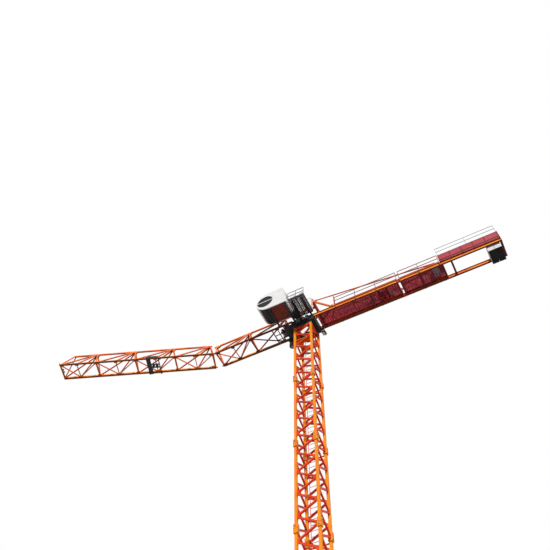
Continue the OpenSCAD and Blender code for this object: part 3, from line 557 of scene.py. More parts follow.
base = {
    "half": 2.6,
    "plateWidth": 0.62,
    "plateThick": 0.04,
    "beamWidth": 0.32,
    "beamHeight": 0.42,
    "boltInset": 0.09,
    "ribs": 4,
    "ribStart": 1.15,
    "ribStep": 0.22,
    "coverStart": 1.0,
}


def addBaseDetails(size):
    # foundation bolts at the ends of the cross, and ribs and covers on its beams
    bolts, ribs = bmesh.new(), bmesh.new()
    inset, plateTop, high = size["boltInset"], size["plateThick"], size["beamHeight"]
    side = size["plateWidth"] / 2 - inset * 0.7
    for x in (size["half"] - size["plateWidth"] + inset, size["half"] - inset):
        for y in (-side, side):
            addBolt(bolts, (x, y, plateTop), (0, 0, 1), 0.035)
            addRod(bolts, (x, y, plateTop), (x, y, plateTop + 0.09), 0.018, 12)
    for k in range(1, size["ribs"] + 1):
        x = size["ribStart"] + k * size["ribStep"]
        for y in (-size["beamWidth"] / 2, size["beamWidth"] / 2):
            addBox(ribs, (x, y - 0.012, plateTop), (x + 0.016, y + 0.012, high))
    cover = size["beamWidth"] / 2 + 0.02
    addBox(ribs, (size["coverStart"], -cover, high - 0.03), (size["half"] - 0.02, cover, high + 0.004))
    for bm in (bolts, ribs):
        bmesh.ops.rotate(bm, verts=bm.verts, cent=(0, 0, 0), matrix=Matrix.Rotation(math.pi / 4, 3, "Z"))
        repeatAround(bm, 4)
    finishPiece("baseBolts", bolts, "grey", "mast")
    finishPiece("baseRibs", ribs, "orange", "mast")


addMastGussets(mast)
addMastPins(mast)
addLadder(mast)
addBaseDetails(base)
print("mast dressed")


# Slewing ring, motor, lamp and supply boxes

slewing = {
    "outer": 0.56,
    "boltCircle": 0.5,
    "bolts": 36,
    "teeth": 110,
    "tableTop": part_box("turntable")[0].z + 0.06,
    "tooth": (0.004, 0.022, 0.008),
    "motor": (-1.25, 0.40),
    "motorRadius": 0.17,
    "motorFins": 9,
    "finStep": 0.028,
    "motorBolts": 8,
    "motorBoltCircle": 0.19,
}
lamp = {"place": (1.04, 0.48), "drop": 0.38, "tilt": 25, "half": (0.11, 0.14), "fins": 5, "finStep": 0.04}


def addRingDetails(size):
    # bolts through the turntable into the race, and teeth around the fixed race
    bolts, teeth = bmesh.new(), bmesh.new()
    low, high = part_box("fixed_race")
    for k in range(size["bolts"]):
        angle = 2 * math.pi * (k + 0.5) / size["bolts"]
        x, y = size["boltCircle"] * math.cos(angle), size["boltCircle"] * math.sin(angle)
        addBolt(bolts, (x, y, size["tableTop"]), (0, 0, 1), 0.02)
    root, tip, half = size["tooth"]
    addBox(teeth, (size["outer"] - root, -half, low.z + 0.006), (size["outer"] + tip, half, high.z - 0.006))
    repeatAround(teeth, size["teeth"])
    finishPiece("ringBolts", bolts, "grey", "upper")
    finishPiece("ringTeeth", teeth, "grey", "mast")


def addMotorDetails(size):
    # fins, terminal box and fan cover of the slewing motor, and its bolts on the table
    bm = bmesh.new()
    x, y = size["motor"]
    radius = size["motorRadius"]
    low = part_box("slewing_motor")[0].z
    for k in range(size["motorFins"]):
        z = low + 0.05 + k * size["finStep"]
        addRing(bm, (x, y, z), (0, 0, 1), radius + 0.016, radius - 0.01, 0.009, 40)
    addBox(bm, (x - 0.07, y + radius - 0.01, low + 0.3), (x + 0.07, y + radius + 0.07, low + 0.42))
    addRod(bm, (x, y, low - 0.02), (x, y, low), 0.1, 24)
    for k in range(size["motorBolts"]):
        angle = 2 * math.pi * k / size["motorBolts"]
        out = Vector((math.cos(angle), math.sin(angle), 0)) * size["motorBoltCircle"]
        addBolt(bm, Vector((x, y, size["tableTop"] + 0.04)) + out, (0, 0, 1), 0.014)
    finishPiece("motorDetails", bm, "grey", "upper")


def addLamp(size):
    # lens with its frame, pivots and cooling fins, tilted as the lamp is
    centre = (*size["place"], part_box("turntable")[0].z - size["drop"])
    place = Matrix.Translation(centre) @ Matrix.Rotation(math.radians(size["tilt"]), 4, "Y")
    halfX, halfY = size["half"]
    lens, guard = bmesh.new(), bmesh.new()
    addBox(lens, (-0.1, -0.13, -0.076), (0.1, 0.13, -0.069))
    for s in (-1, 1):
        addBox(guard, (s * halfX - 0.01, -halfY, -0.082), (s * halfX + 0.01, halfY, -0.068))
        addBox(guard, (-0.12, s * halfY - 0.01, -0.082), (0.12, s * halfY + 0.01, -0.068))
        addRod(guard, (0, s * 0.15, 0), (0, s * 0.17, 0), 0.03, 16)
    for k in range(size["fins"]):
        x = -0.08 + k * size["finStep"]
        addBox(guard, (x - 0.004, -0.12, 0.07), (x + 0.004, 0.12, 0.1))
    finishPiece("lampLens", lens, "lens", "upper", place=place)
    finishPiece("lampGuard", guard, "grey", "upper", place=place)


# Boxes go from start to end and low to high, and hoses from start to end at a height, with a sag
supply = {
    "face": -0.63,
    "boxes": ((-0.42, -0.16, 0.52, 0.80), (0.02, 0.16, 0.60, 0.78), (0.24, 0.46, 0.50, 0.80)),
    "depth": 0.11,
    "lid": 0.01,
    "lidInset": 0.012,
    "boltInset": 0.03,
    "hoses": ((-0.16, 0.02, 0.66, 0.16), (0.16, 0.24, 0.68, 0.1), (-0.40, 0.40, 0.50, 0.12),
              (-0.34, 0.34, 0.50, 0.2)),
    "hoseRadius": 0.016,
    "hoseSteps": 14,
}


def addHose(bm, start, end, sag, size):
    # hose that hangs between two ends
    shares = [k / size["hoseSteps"] for k in range(size["hoseSteps"] + 1)]
    points = [Vector(start).lerp(Vector(end), t) - Vector((0, 0, 4 * sag * t * (1 - t))) for t in shares]
    for low, high in zip(points, points[1:]):
        addRod(bm, low, high, size["hoseRadius"], 10)


def addSupplyBoxes(size):
    # junction boxes and hoses on the near side of the turntable
    boxes, hoses, steel = bmesh.new(), bmesh.new(), bmesh.new()
    face = size["face"] - size["depth"]
    lid, inset, bolt = size["lid"], size["lidInset"], size["boltInset"]
    for startX, endX, low, high in size["boxes"]:
        low, high = mastTop + low, mastTop + high
        addBox(boxes, (startX, face, low), (endX, size["face"], high))
        addBox(boxes, (startX + inset, face - lid, low + inset), (endX - inset, face, high - inset))
        for x in (startX + bolt, endX - bolt):
            for z in (low + bolt, high - bolt):
                addBolt(steel, (x, face - lid, z), (0, -1, 0), 0.008)
    y = size["face"] - size["depth"] / 2
    for startX, endX, z, sag in size["hoses"]:
        addHose(hoses, (startX, y, mastTop + z), (endX, y, mastTop + z), sag, size)
    finishPiece("supplyBoxes", boxes, "grey", "upper", bevel=0.004)
    finishPiece("supplyHoses", hoses, "rubber", "upper")
    finishPiece("supplyBolts", steel, "dark", "upper")


addRingDetails(slewing)
addMotorDetails(slewing)
addLamp(lamp)
addSupplyBoxes(supply)
print("slewing dressed")


# Jib

jib = {
    "half": jibHalf,
    "chord": 0.10,
    "height": 1.64,
    "halfBay": 1.41,
    "innerBays": 4,
    "outerBays": 8,
    "endGusset": 0.26,
    "topLead": 0.49,
    "tipShort": 0.18,
    "rootShift": 0.60,
    "gussetThick": 0.012,
    "gussetShort": 0.16,
    "bottomPlate": ((-0.15, -0.03), (0.15, -0.03), (0.15, 0.07), (0.07, 0.15), (-0.07, 0.15), (-0.15, 0.07)),
    "topPlate": ((-0.2, 0.03), (0.2, 0.03), (0.12, -0.17), (-0.12, -0.17)),
    "endPlate": (0.075, 0.02, 0.006),
}
jib["outerLength"] = jib["outerBays"] * jib["halfBay"] - jib["tipShort"]
innerPlace = Matrix.Translation(splicePlace)
outerPlace = (Matrix.Translation(splicePlace - pinOffset) @ Matrix.Rotation(swing, 4, "Z")
              @ Matrix.Translation(pinOffset))


def addJibGussets(name, size, bays, sign, place, body, finish):
    # plates beside the chords at every bottom node, and at the top nodes between them
    bottom, top = bmesh.new(), bmesh.new()
    chord, thick = size["chord"] / 2, size["gussetThick"]
    face = size["half"] - chord
    length = bays * size["halfBay"] if sign > 0 else size["outerLength"]
    for k in range(bays + 1):
        shift = size["rootShift"] if sign > 0 and k == bays - 1 else 0
        along = max(k * size["halfBay"], size["endGusset"]) + shift
        x = sign * min(along, length - size["gussetShort"])
        addPlate(bottom, [(x + px, face, pz) for px, pz in size["bottomPlate"]], (0, -thick, 0))
        addBox(bottom, (x - 0.13, face - 0.1, -0.04), (x + 0.13, face, -0.04 + thick))
        if k % 2 == 0 and k * size["halfBay"] < length - size["topLead"]:
            peak = x - size["topLead"]
            outline = [(peak + px, chord, size["height"] + pz) for px, pz in size["topPlate"]]
            addPlate(top, outline, (0, thick, 0))
    repeatMirrored(bottom)
    repeatMirrored(top)
    finishPiece(name + "Gussets", bottom, finish, body, place=place)
    # the top gussets are gold as painted sunlight
    finishPiece(name + "TopGussets", top, "gold", body, place=place)


def addSpliceDetails(size):
    # end plates of the chords, and the pin's keeper
    inner, outer, keeper = bmesh.new(), bmesh.new(), bmesh.new()
    back, thick, edge = size["endPlate"]
    reach = size["chord"] / 2 + edge
    chords = ((0, -size["half"], 0), (0, size["half"], 0), (-size["topLead"], 0, size["height"]))
    for bm, sign in ((inner, 1), (outer, -1)):
        for chordX, y, z in chords:
            x = chordX + sign * back
            addBox(bm, (x, y - reach, z - reach), (x + sign * thick, y + reach, z + reach))
    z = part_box("splice_pin")[1].z - chordZ - 0.006
    addRod(keeper, (-0.03, -size["half"], z), (0.03, -size["half"], z), 0.004, 10)
    finishPiece("innerEndPlates", inner, "orange", "upper", place=innerPlace)
    finishPiece("outerEndPlates", outer, "orange", "outer_jib", place=outerPlace)
    finishPiece("pinKeeper", keeper, "grey", "upper", place=innerPlace)


def addTipDetails(size):
    # buffers on the ends of the bottom chords, stops beside them, and the rope anchor between
    bm = bmesh.new()
    tip = -size["outerLength"]
    chord = size["chord"] / 2
    for side in (-1, 1):
        y = side * size["half"]
        addRod(bm, (tip + 0.001, y, 0), (tip + 0.03, y, 0), 0.03, 20)
        addBox(bm, (tip, y + side * chord, -chord + 0.016), (tip + 0.02, y + side * (chord + 0.06), 0.09))
    for y in (-0.12, 0.12):
        addBox(bm, (tip + 0.03, y - 0.01, 0.03), (tip + 0.15, y + 0.01, 0.15))
    addRod(bm, (tip + 0.09, -0.13, 0.11), (tip + 0.09, 0.13, 0.11), 0.02, 16)
    finishPiece("tipDetails", bm, "dark", "outer_jib", place=outerPlace)


trolley = {
    "middle": -4.4,
    "plateOut": 0.068,
    "low": 0.075,
    "axleDrop": 0.04,
    "sheaves": ((0, -0.065), (0, 0.035), (0.25, -0.065), (0.25, 0.035)),
    "sheaveRadius": 0.1,
    "cheeks": (-0.09, 0.08),
    "wheelX": 0.35,
    "wheelRise": 0.0863,
    "capBolts": 4,
    "bufferX": 0.45,
    "bufferLength": 0.035,
}
smallWinch = {"x": -1.72, "rise": 0.24, "turns": 14, "turnStep": 0.0235, "fins": 5, "finStep": 0.025}


def addTrolleyDetails(size):
    # rope sheaves between the trolley's beams, axle caps and buffers
    sheaves, caps = bmesh.new(), bmesh.new()
    middle, radius = size["middle"], size["sheaveRadius"]
    chord = jib["chord"] / 2
    plate = jib["half"] + chord + size["plateOut"]
    low = -chord - size["low"]
    axle = low - size["axleDrop"]
    for offset, y in size["sheaves"]:
        x = middle + offset
        addRing(sheaves, (x, y, axle), (0, 1, 0), radius, radius - 0.015, 0.03, 40)
        addRod(sheaves, (x, y + 0.005, axle), (x, y + 0.025, axle), radius - 0.011, 40)
    for x in (middle, middle + size["sheaves"][-1][0]):
        addRod(sheaves, (x, -0.1, axle), (x, 0.1, axle), 0.02)
        for y in size["cheeks"]:
            addBox(sheaves, (x - 0.035, y, axle - 0.035), (x + 0.035, y + 0.01, low + 0.058))
    for side in (-1, 1):
        face = side * (plate + 0.02)
        cap = face + side * 0.012
        z = -chord + size["wheelRise"]
        for x in (middle - size["wheelX"], middle + size["wheelX"]):
            addRod(caps, (x, face, z), (x, cap, z), 0.045, 24)
            for k in range(size["capBolts"]):
                angle = 2 * math.pi * (k + 0.5) / size["capBolts"]
                place = (x + 0.032 * math.cos(angle), cap, z + 0.032 * math.sin(angle))
                addBolt(caps, place, (0, side, 0), 0.007)
        y, z = side * (plate - 0.03), low + 0.03
        for end in (-1, 1):
            x = middle + end * size["bufferX"]
            addRod(caps, (x, y, z), (x + end * size["bufferLength"], y, z), 0.025, 20)
    finishPiece("trolleySheaves", sheaves, "dark", "trolley", place=outerPlace)
    finishPiece("trolleyCaps", caps, "grey", "trolley", place=outerPlace)


def addSmallWinch(size):
    # rope laid on the trolley winch's drum, its motor's ribs and feet
    rope, motor = bmesh.new(), bmesh.new()
    x, z = size["x"], chordZ + size["rise"]
    for k in range(size["turns"]):
        addRing(rope, (x, 0.035 + k * size["turnStep"], z), (0, 1, 0), 0.141, 0.125, 0.018, 36)
    for k in range(size["fins"]):
        addRing(motor, (x, -0.16 + k * size["finStep"], z), (0, 1, 0), 0.1, 0.085, 0.008, 32)
    addBox(motor, (x - 0.06, -0.15, z + 0.085), (x + 0.06, -0.03, z + 0.13))
    for footX in (x - 0.61, x + 0.22):
        for y in (-0.5, 0.5):
            addBolt(motor, (footX, y, chordZ + 0.11), (0, 0, 1), 0.014)
    finishPiece("smallWinchRope", rope, "grey", "upper")
    finishPiece("smallWinchMotor", motor, "grey", "upper")


# painted light: the inner jib's bottom gussets are dark red as painted shade, the outer jib's gold as
# painted sunlight
addJibGussets("inner", jib, jib["innerBays"], 1, innerPlace, "upper", "darkRed")
addJibGussets("outer", jib, jib["outerBays"], -1, outerPlace, "outer_jib", "gold")
addSpliceDetails(jib)
addTipDetails(jib)
addTrolleyDetails(trolley)
addSmallWinch(smallWinch)
print("jib dressed")


# Counter-jib

counter = {
    "end": 13.35,
    "joint": 6.73,
    "jointGap": 0.07,
    "half": 0.575,
    "beamHeight": 0.28,
    "flange": 0.11,
    "flangeThick": 0.02,
    "web": 0.016,
    "beamZ": mastTop + 0.656,
    "crossWidth": 0.12,
    "crosses": (1.12, 4.67, 6.54, 6.80, 8.03, 9.53, 10.11, 13.23),
    "spliceReach": 0.16,
    "spliceThick": 0.012,
    "splicePlate": ((-0.2, -0.05), (0.2, -0.05), (0.2, 0.05), (-0.2, 0.05)),
    "webBolts": ((-0.12, -0.05, 0.05, 0.12), (0.05, 0.12, 0.19)),
    "flangeBolts": ((-0.16, -0.08, 0.08, 0.16), (-0.03, 0.03)),
    "gratingStep": 0.022,
    "gratingBar": (0.002, 0.032),
    "gratingRod": (0.004, 0.012, 0.02),
    "rodStep": 0.1,
    "bracedBays": (0, 1, 3, 4),
    "bracingStep": 1.15,
    "deckStart": 0.93,
    "deckEnd": 9.65,
    "toeBoards": ((2.34, 6.66), (6.8, 9.44)),
    "tieFoot": 9.15,
    "tieHead": 0.75,
}
counter["top"] = counter["beamZ"] + counter["beamHeight"] / 2
counter["bottom"] = counter["beamZ"] - counter["beamHeight"] / 2
counter["deckTop"] = counter["top"] - counter["flangeThick"]


def addBeamDetails(size):
    # web stiffeners at the cross beams, splice plates with bolts, and end plates
    stiffeners, splices, bolts = bmesh.new(), bmesh.new(), bmesh.new()
    low = size["bottom"] + size["flangeThick"]
    high = size["top"] - size["flangeThick"]
    half, joint = size["half"], size["joint"]
    reach, thick = size["spliceReach"], size["spliceThick"]
    web = half + size["web"] / 2
    edge = size["flange"] / 2 - 0.004
    for x in size["crosses"]:
        middle = x + size["crossWidth"] / 2
        addBox(stiffeners, (middle - 0.006, web - 0.002, low), (middle + 0.006, half + edge, high))
    for side, face in ((1, web), (-1, web - size["web"])):
        addBox(splices, (joint - reach, face, low + 0.03), (joint + reach, face + side * thick, high - 0.03))
    for x in size["webBolts"][0]:
        for z in size["webBolts"][1]:
            addBolt(bolts, (joint + x, web + thick, low + z), (0, 1, 0), 0.014)
    for z, through in ((size["top"], thick), (size["bottom"], -thick)):
        addPlate(splices, [(joint + px, half + py, z) for px, py in size["splicePlate"]], (0, 0, through))
        for x in size["flangeBolts"][0]:
            for y in size["flangeBolts"][1]:
                addBolt(bolts, (joint + x, half + y, z + through), (0, 0, through), 0.011)
    addBox(stiffeners, (size["end"] - 0.012, half - edge, low), (size["end"] - 0.001, half + edge, high))
    for bm in (stiffeners, splices, bolts):
        repeatMirrored(bm)
    finishPiece("beamStiffeners", stiffeners, "orange", "upper")
    finishPiece("beamSplices", splices, "red", "upper")
    finishPiece("beamBolts", bolts, "grey", "upper")


def addDeckGrating(name, size, start, end):
    # bearing bars along the deck with rods across, on the deck's own bars
    bm = bmesh.new()
    top = size["deckTop"]
    half = size["half"] - size["flange"] / 2 - 0.004
    barHalf, barHigh = size["gratingBar"]
    rodHalf, rodLow, rodHigh = size["gratingRod"]
    count = int(2 * half / size["gratingStep"])
    for k in range(count + 1):
        y = -half + 0.003 + k * (2 * half - 0.006) / count
        addBox(bm, (start, y - barHalf, top), (end, y + barHalf, top + barHigh))
    for k in range(int((end - start) / size["rodStep"]) + 1):
        x = start + rodHalf + k * size["rodStep"]
        addBox(bm, (x - rodHalf, -half, top + rodLow), (x + rodHalf, half, top + rodHigh))
    finishPiece(name, bm, "deck", "upper")


def addDeckBracing(size):
    # crossed flat bars under the decks, between the cross beams
    bm = bmesh.new()
    z = size["bottom"] + 0.07
    half = size["half"] - size["web"] / 2
    for k in size["bracedBays"]:
        start = size["crosses"][k] + size["crossWidth"]
        end = size["crosses"][k + 1]
        count = max(1, round((end - start) / size["bracingStep"]))
        step = (end - start) / count
        for n in range(count):
            x = start + n * step
            side = 1 if n % 2 == 0 else -1
            addBar(bm, (x, -side * half, z), (x + step, side * half, z), 0.05, 0.012)
            if n:
                addBox(bm, (x - 0.03, -half, z - 0.025), (x + 0.03, half, z - 0.006))
    finishPiece("deckBracing", bm, "red", "upper")


def addToeBoards(size):
    # toe boards on the inner faces of the rail posts
    bm = bmesh.new()
    y = size["half"] + size["flange"] / 2
    for start, end in size["toeBoards"]:
        addBox(bm, (start, y - 0.005, size["top"]), (end, y, size["top"] + 0.12))
    repeatMirrored(bm)
    finishPiece("toeBoards", bm, "red", "upper")


hoist = {
    "fromJoint": 1.18,
    "y": 0.15,
    "rise": 0.28,
    "motorRise": 0.16,
    "turns": 20,
    "turnStep": 0.0245,
    "firstTurn": -0.245,
    "ropeRadius": 0.243,
    "drumRadius": 0.225,
    "bolts": 8,
    "boltCircle": 0.13,
    "fins": 12,
    "finStart": 0.36,
    "finStep": 0.022,
}


def addHoistWinch(size):
    # rope on the drum, bearings, gearbox, ribbed motor and its foot
    rope, gear, steel = bmesh.new(), bmesh.new(), bmesh.new()
    x, y = counter["joint"] - size["fromJoint"], size["y"]
    z = counter["top"] + size["rise"]
    motorZ = counter["top"] + size["motorRise"]
    for k in range(size["turns"]):
        place = (x, y + size["firstTurn"] + k * size["turnStep"], z)
        addRing(rope, place, (0, 1, 0), size["ropeRadius"], size["drumRadius"], 0.02, 48)
    addRod(gear, (x, y + 0.36, z), (x, y + 0.41, z), 0.17, 40)
    addRod(gear, (x, y - 0.36, z), (x, y - 0.42, z), 0.13, 40)
    addBox(gear, (x + 0.08, y - 0.48, z - 0.12), (x + 0.3, y - 0.36, z + 0.14))
    for k in range(size["bolts"]):
        angle = 2 * math.pi * k / size["bolts"]
        out = Vector((math.cos(angle), 0, math.sin(angle))) * size["boltCircle"]
        addBolt(steel, Vector((x, y + 0.41, z)) + out, (0, 1, 0), 0.014)
    for k in range(size["fins"]):
        finX = x + size["finStart"] + k * size["finStep"]
        addRing(steel, (finX, y, motorZ), (1, 0, 0), 0.115, 0.1, 0.008, 40)
    addRod(gear, (x + 0.34, y, motorZ), (x + 0.64, y, motorZ), 0.102, 40)
    addBox(gear, (x + 0.32, y - 0.16, counter["top"] - 0.02), (x + 0.66, y + 0.16, counter["top"] + 0.07))
    finishPiece("hoistRope", rope, "grey", "upper")
    finishPiece("hoistGear", gear, "grey", "upper")
    finishPiece("hoistSteel", steel, "dark", "upper")


def addHousingDetails():
    # lid, louvres, seams and latches of the motor housing
    bm, seams = bmesh.new(), bmesh.new()
    low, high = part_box("motor_housing")
    addBox(bm, (low.x - 0.02, low.y - 0.02, high.z), (high.x + 0.02, high.y + 0.02, high.z + 0.015))
    x = low.x + 0.06
    for side, y in ((-1, low.y), (1, high.y)):
        for k in range(7):
            z = low.z + 0.12 + k * 0.04
            addPlate(bm, [(x, y, z + 0.024), (x, y + side * 0.014, z), (x, y, z)], (0.28, 0, 0))
    for side, x in ((-1, low.x), (1, high.x)):
        addBox(seams, (x, low.y + 0.05, low.z + 0.06), (x + side * 0.003, low.y + 0.055, high.z - 0.04))
        addBox(seams, (x, -0.02, low.z + 0.22), (x + side * 0.02, 0.02, low.z + 0.3))
    finishPiece("housingDetails", bm, "grey", "upper")
    finishPiece("housingSeams", seams, "dark", "upper")


parapet = {
    "foot": 0.18,
    "height": 0.59,
    "frameStep": 0.74,
    "frameWidth": 0.06,
    "depth": 0.02,
    "trim": (0.012, 0.03),
    "holeRows": ((0.15, 0.09), (0.08, 0.045)),
    "holes": (8, 8, 8, 8, 9),
}


def addParapetDetails(size):
    # holed strip under the panel, edge trims and bolts on the frames
    trims, holes, bolts = bmesh.new(), bmesh.new(), bmesh.new()
    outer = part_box("parapet_panel")[0]
    face = outer.y + size["depth"]
    bottom = counter["top"] + size["foot"]
    top = bottom + size["height"]
    depth, high = size["trim"]
    frames = [outer.x + k * size["frameStep"] for k in range(5)] + [counter["end"] - size["frameWidth"]]
    for frameX, end, count in zip(frames, frames[1:], size["holes"]):
        start = frameX + size["frameWidth"]
        addBox(trims, (start, face - depth, bottom), (end, face, bottom + high))
        addBox(trims, (start, face - depth, top - high), (end, face, top))
        step = (end - start) / count
        reach = step * 0.3
        for n in range(count):
            x = start + (n + 0.5) * step
            for rowLow, rowHigh in size["holeRows"]:
                corner = (x - reach, face - 0.003, bottom - rowLow)
                addBox(holes, corner, (x + reach, face + 0.001, bottom - rowHigh))
    for x in frames:
        for z in (bottom - 0.12, bottom + 0.06, top - 0.06):
            addBolt(bolts, (x + size["frameWidth"] / 2, outer.y, z), (0, -1, 0), 0.012)
    finishPiece("panelTrims", trims, "darkRed", "upper")
    finishPiece("panelHoles", holes, "dark", "upper")
    finishPiece("panelBolts", bolts, "grey", "upper")


def addSlabDetails(size):
    # lifting loops on the slabs and steel shoes where they hang on the beams
    loops, steel = bmesh.new(), bmesh.new()
    low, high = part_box("ballast_slabs")
    angles = [math.pi * k / 8 for k in range(9)]
    for x in (low.x + 0.2, high.x - 0.2):
        for y in (-0.3, 0.3):
            bar = [(x, y + 0.07 * math.cos(a), high.z - 0.01 + 0.08 * math.sin(a)) for a in angles]
            for start, end in zip(bar, bar[1:]):
                addRod(loops, start, end, 0.01, 10)
        for y, inward in ((low.y, 0.1), (high.y, -0.1)):
            addBox(steel, (x - 0.19, y, size["top"] - 0.001), (x + 0.19, y + inward, size["top"] + 0.012))
    finishPiece("slabLoops", loops, "grey", "upper")
    finishPiece("slabShoes", steel, "dark", "upper")


def addTieDetails(size):
    # pins at both ends of the ties and at their joint, each with a washer on both sides
    bm = bmesh.new()
    footX = size["tieFoot"]
    footZ = size["top"] + 0.2
    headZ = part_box("tower_head")[1].z - 0.09 - 0.16
    slope = (headZ - footZ) / (footX - size["tieHead"])
    for x in (footX - 0.04, size["joint"], size["tieHead"] + 0.3):
        z = footZ + (footX - x) * slope
        addRod(bm, (x, size["half"] - 0.045, z), (x, size["half"] + 0.045, z), 0.03, 24)
        for side in (-1, 1):
            y = size["half"] + side * 0.032
            addRod(bm, (x, y, z), (x, y + side * 0.006, z), 0.055, 28)
    repeatMirrored(bm)
    finishPiece("tiePins", bm, "grey", "upper")


addBeamDetails(counter)
addDeckGrating("innerGrating", counter, counter["deckStart"], counter["joint"] - counter["jointGap"])
addDeckGrating("outerGrating", counter, counter["joint"] + counter["jointGap"], counter["deckEnd"])
addDeckBracing(counter)
addToeBoards(counter)
addHoistWinch(hoist)
addHousingDetails()
addParapetDetails(parapet)
addSlabDetails(counter)
addTieDetails(counter)
print("counter-jib dressed")


# Head, cab and platform

head = {
    "x": 0.75,
    "beam": 0.18,
    "leg": 0.11,
    "beamZ": chordZ + 1.64,
    "footX": 2.15,
    "toeX": 0.35,
    "tableTop": chordZ - 0.05,
    "plate": 0.012,
    "peakPlate": ((-0.13, 0.02), (0.13, 0.02), (0.26, -0.2), (0.2, -0.3), (0, -0.16), (-0.13, -0.3),
                  (-0.2, -0.22)),
    "footPlate": ((-0.15, 0), (0.15, 0), (0.08, 0.17), (-0.1, 0.17)),
    "pinRise": 0.09,
}


def addHeadDetails(size):
    # gussets at the peaks, foot plates with pins, and the top chord's joint
    plates, pins = bmesh.new(), bmesh.new()
    thick = size["plate"]
    y = counter["half"] + size["leg"] / 2
    x, beamZ = size["x"], size["beamZ"]
    peak = beamZ - size["beam"] / 2
    addPlate(plates, [(x + px, y, peak + pz) for px, pz in size["peakPlate"]], (0, thick, 0))
    for footX, footZ in ((size["footX"], counter["top"]), (-size["toeX"], size["tableTop"])):
        z = footZ + size["pinRise"]
        addPlate(plates, [(footX + px, y, footZ + pz) for px, pz in size["footPlate"]], (0, thick, 0))
        addBox(plates, (footX - 0.17, y - 0.11, footZ - 0.001), (footX + 0.17, y + thick, footZ + 0.014))
        addRod(pins, (footX, y - 0.13, z), (footX, y + 0.03, z), 0.032, 24)
        addRod(pins, (footX, y + 0.018, z), (footX, y + 0.026, z), 0.055, 28)
    repeatMirrored(plates)
    repeatMirrored(pins)
    low, high = beamZ - 0.07, beamZ + 0.07
    for side in (-1, 1):
        addBox(plates, (x - 0.34, side * 0.062, low), (x - 0.088, side * (0.062 + thick), high))
    addRod(pins, (x - 0.25, -0.09, beamZ), (x - 0.25, 0.09, beamZ), 0.03, 24)
    finishPiece("headPlates", plates, "gold", "upper")
    finishPiece("headPins", pins, "grey", "upper")


cab = {
    "rear": -0.42,
    "noseX": -1.75,
    "floor": mastTop + 1.05,
    "height": 1.88,
    "near": -2.2,
    "far": -0.85,
    "lean": 0.29,
    "portholeRadius": 0.56,
    "doorWidth": 0.66,
    "doorHeight": 1.66,
    "doorHinges": (0.25, 0.9, 1.6),
    "barAngles": (98, 145, 200, 262),
    "edgeStart": 92,
    "edgeStep": 6.2,
    "edgeSteps": 28,
}
cab["axisZ"] = cab["floor"] + cab["height"] / 2
cab["portholeX"] = cab["noseX"] - cab["height"] / 2 + cab["portholeRadius"] + 0.115


def addCabFloor(size):
    # brown panel under the floor, red-brown steel darkened as painted shade, with light strips along its
    # rear and near edges
    panel, strip = bmesh.new(), bmesh.new()
    low, high = size["floor"] - 0.012, size["floor"] + 0.002
    near, far, stripX = size["near"], size["far"], size["rear"] - 0.09
    corner = (size["noseX"] + 0.02, near + 0.05, size["floor"] - 0.006)
    addBox(panel, corner, (stripX - 0.01, far - 0.05, high))
    addBox(strip, (stripX, near, low), (size["rear"], far, high))
    addBox(strip, (size["noseX"], near, low), (stripX, near + 0.045, high))
    finishPiece("cabFloorPanel", panel, "floorBrown", "upper")
    finishPiece("cabFloorStrip", strip, "white", "upper")


def addPortholes(size):
    # rubber seals around the round side windows, and a bar across each
    seals, bars = bmesh.new(), bmesh.new()
    x, z, radius = size["portholeX"], size["axisZ"], size["portholeRadius"]
    for y, side in ((size["near"], -1), (size["far"], 1)):
        addRing(seals, (x, y - side * 0.01, z), (0, side, 0), radius + 0.012, radius - 0.03, 0.018, 96)
        addBox(bars, (x - radius + 0.005, y - 0.016, z - 0.032), (x + radius - 0.005, y + 0.016, z + 0.032))
    finishPiece("portholeSeals", seals, "rubber", "upper")
    finishPiece("portholeBars", bars, "white", "upper")


def addFrontFrames(size):
    # bars across the curved front glass, and a wiper
    bars, wiper = bmesh.new(), bmesh.new()
    radius = size["height"] / 2 - 0.009
    low, high = size["near"] + 0.045, size["far"] - 0.045
    for degrees in size["barAngles"]:
        angle = math.radians(degrees)
        out = Vector((math.cos(angle), 0, math.sin(angle)))
        middle = Vector((size["noseX"], 0, size["axisZ"])) + out * (radius - 0.004)
        addBar(bars, middle + Vector((0, low, 0)), middle + Vector((0, high, 0)), 0.045, 0.012)
    for y in (low + 0.012, high - 0.012):
        previous = None
        for k in range(size["edgeSteps"] + 1):
            angle = math.radians(size["edgeStart"] + k * size["edgeStep"])
            point = Vector((size["noseX"] + (radius - 0.002) * math.cos(angle), y,
                            size["axisZ"] + (radius - 0.002) * math.sin(angle)))
            if previous:
                addRod(bars, previous, point, 0.01, 8)
            previous = point
    pivot = Vector((size["noseX"] - radius * 0.985, -1.5, size["axisZ"] - radius * 0.2))
    tip = Vector((size["noseX"] - radius * 0.86, -1.35, size["axisZ"] + radius * 0.52))
    addRod(wiper, pivot, tip, 0.006, 8)
    addRod(wiper, pivot + Vector((0.012, -0.01, -0.01)), pivot + Vector((-0.005, 0.01, 0.01)), 0.02, 16)
    addBar(wiper, tip + Vector((-0.045, 0, -0.22)), tip + Vector((0.045, 0, 0.14)), 0.012, 0.012)
    finishPiece("frontFrames", bars, "rubber", "upper")
    finishPiece("frontWiper", wiper, "dark", "upper")


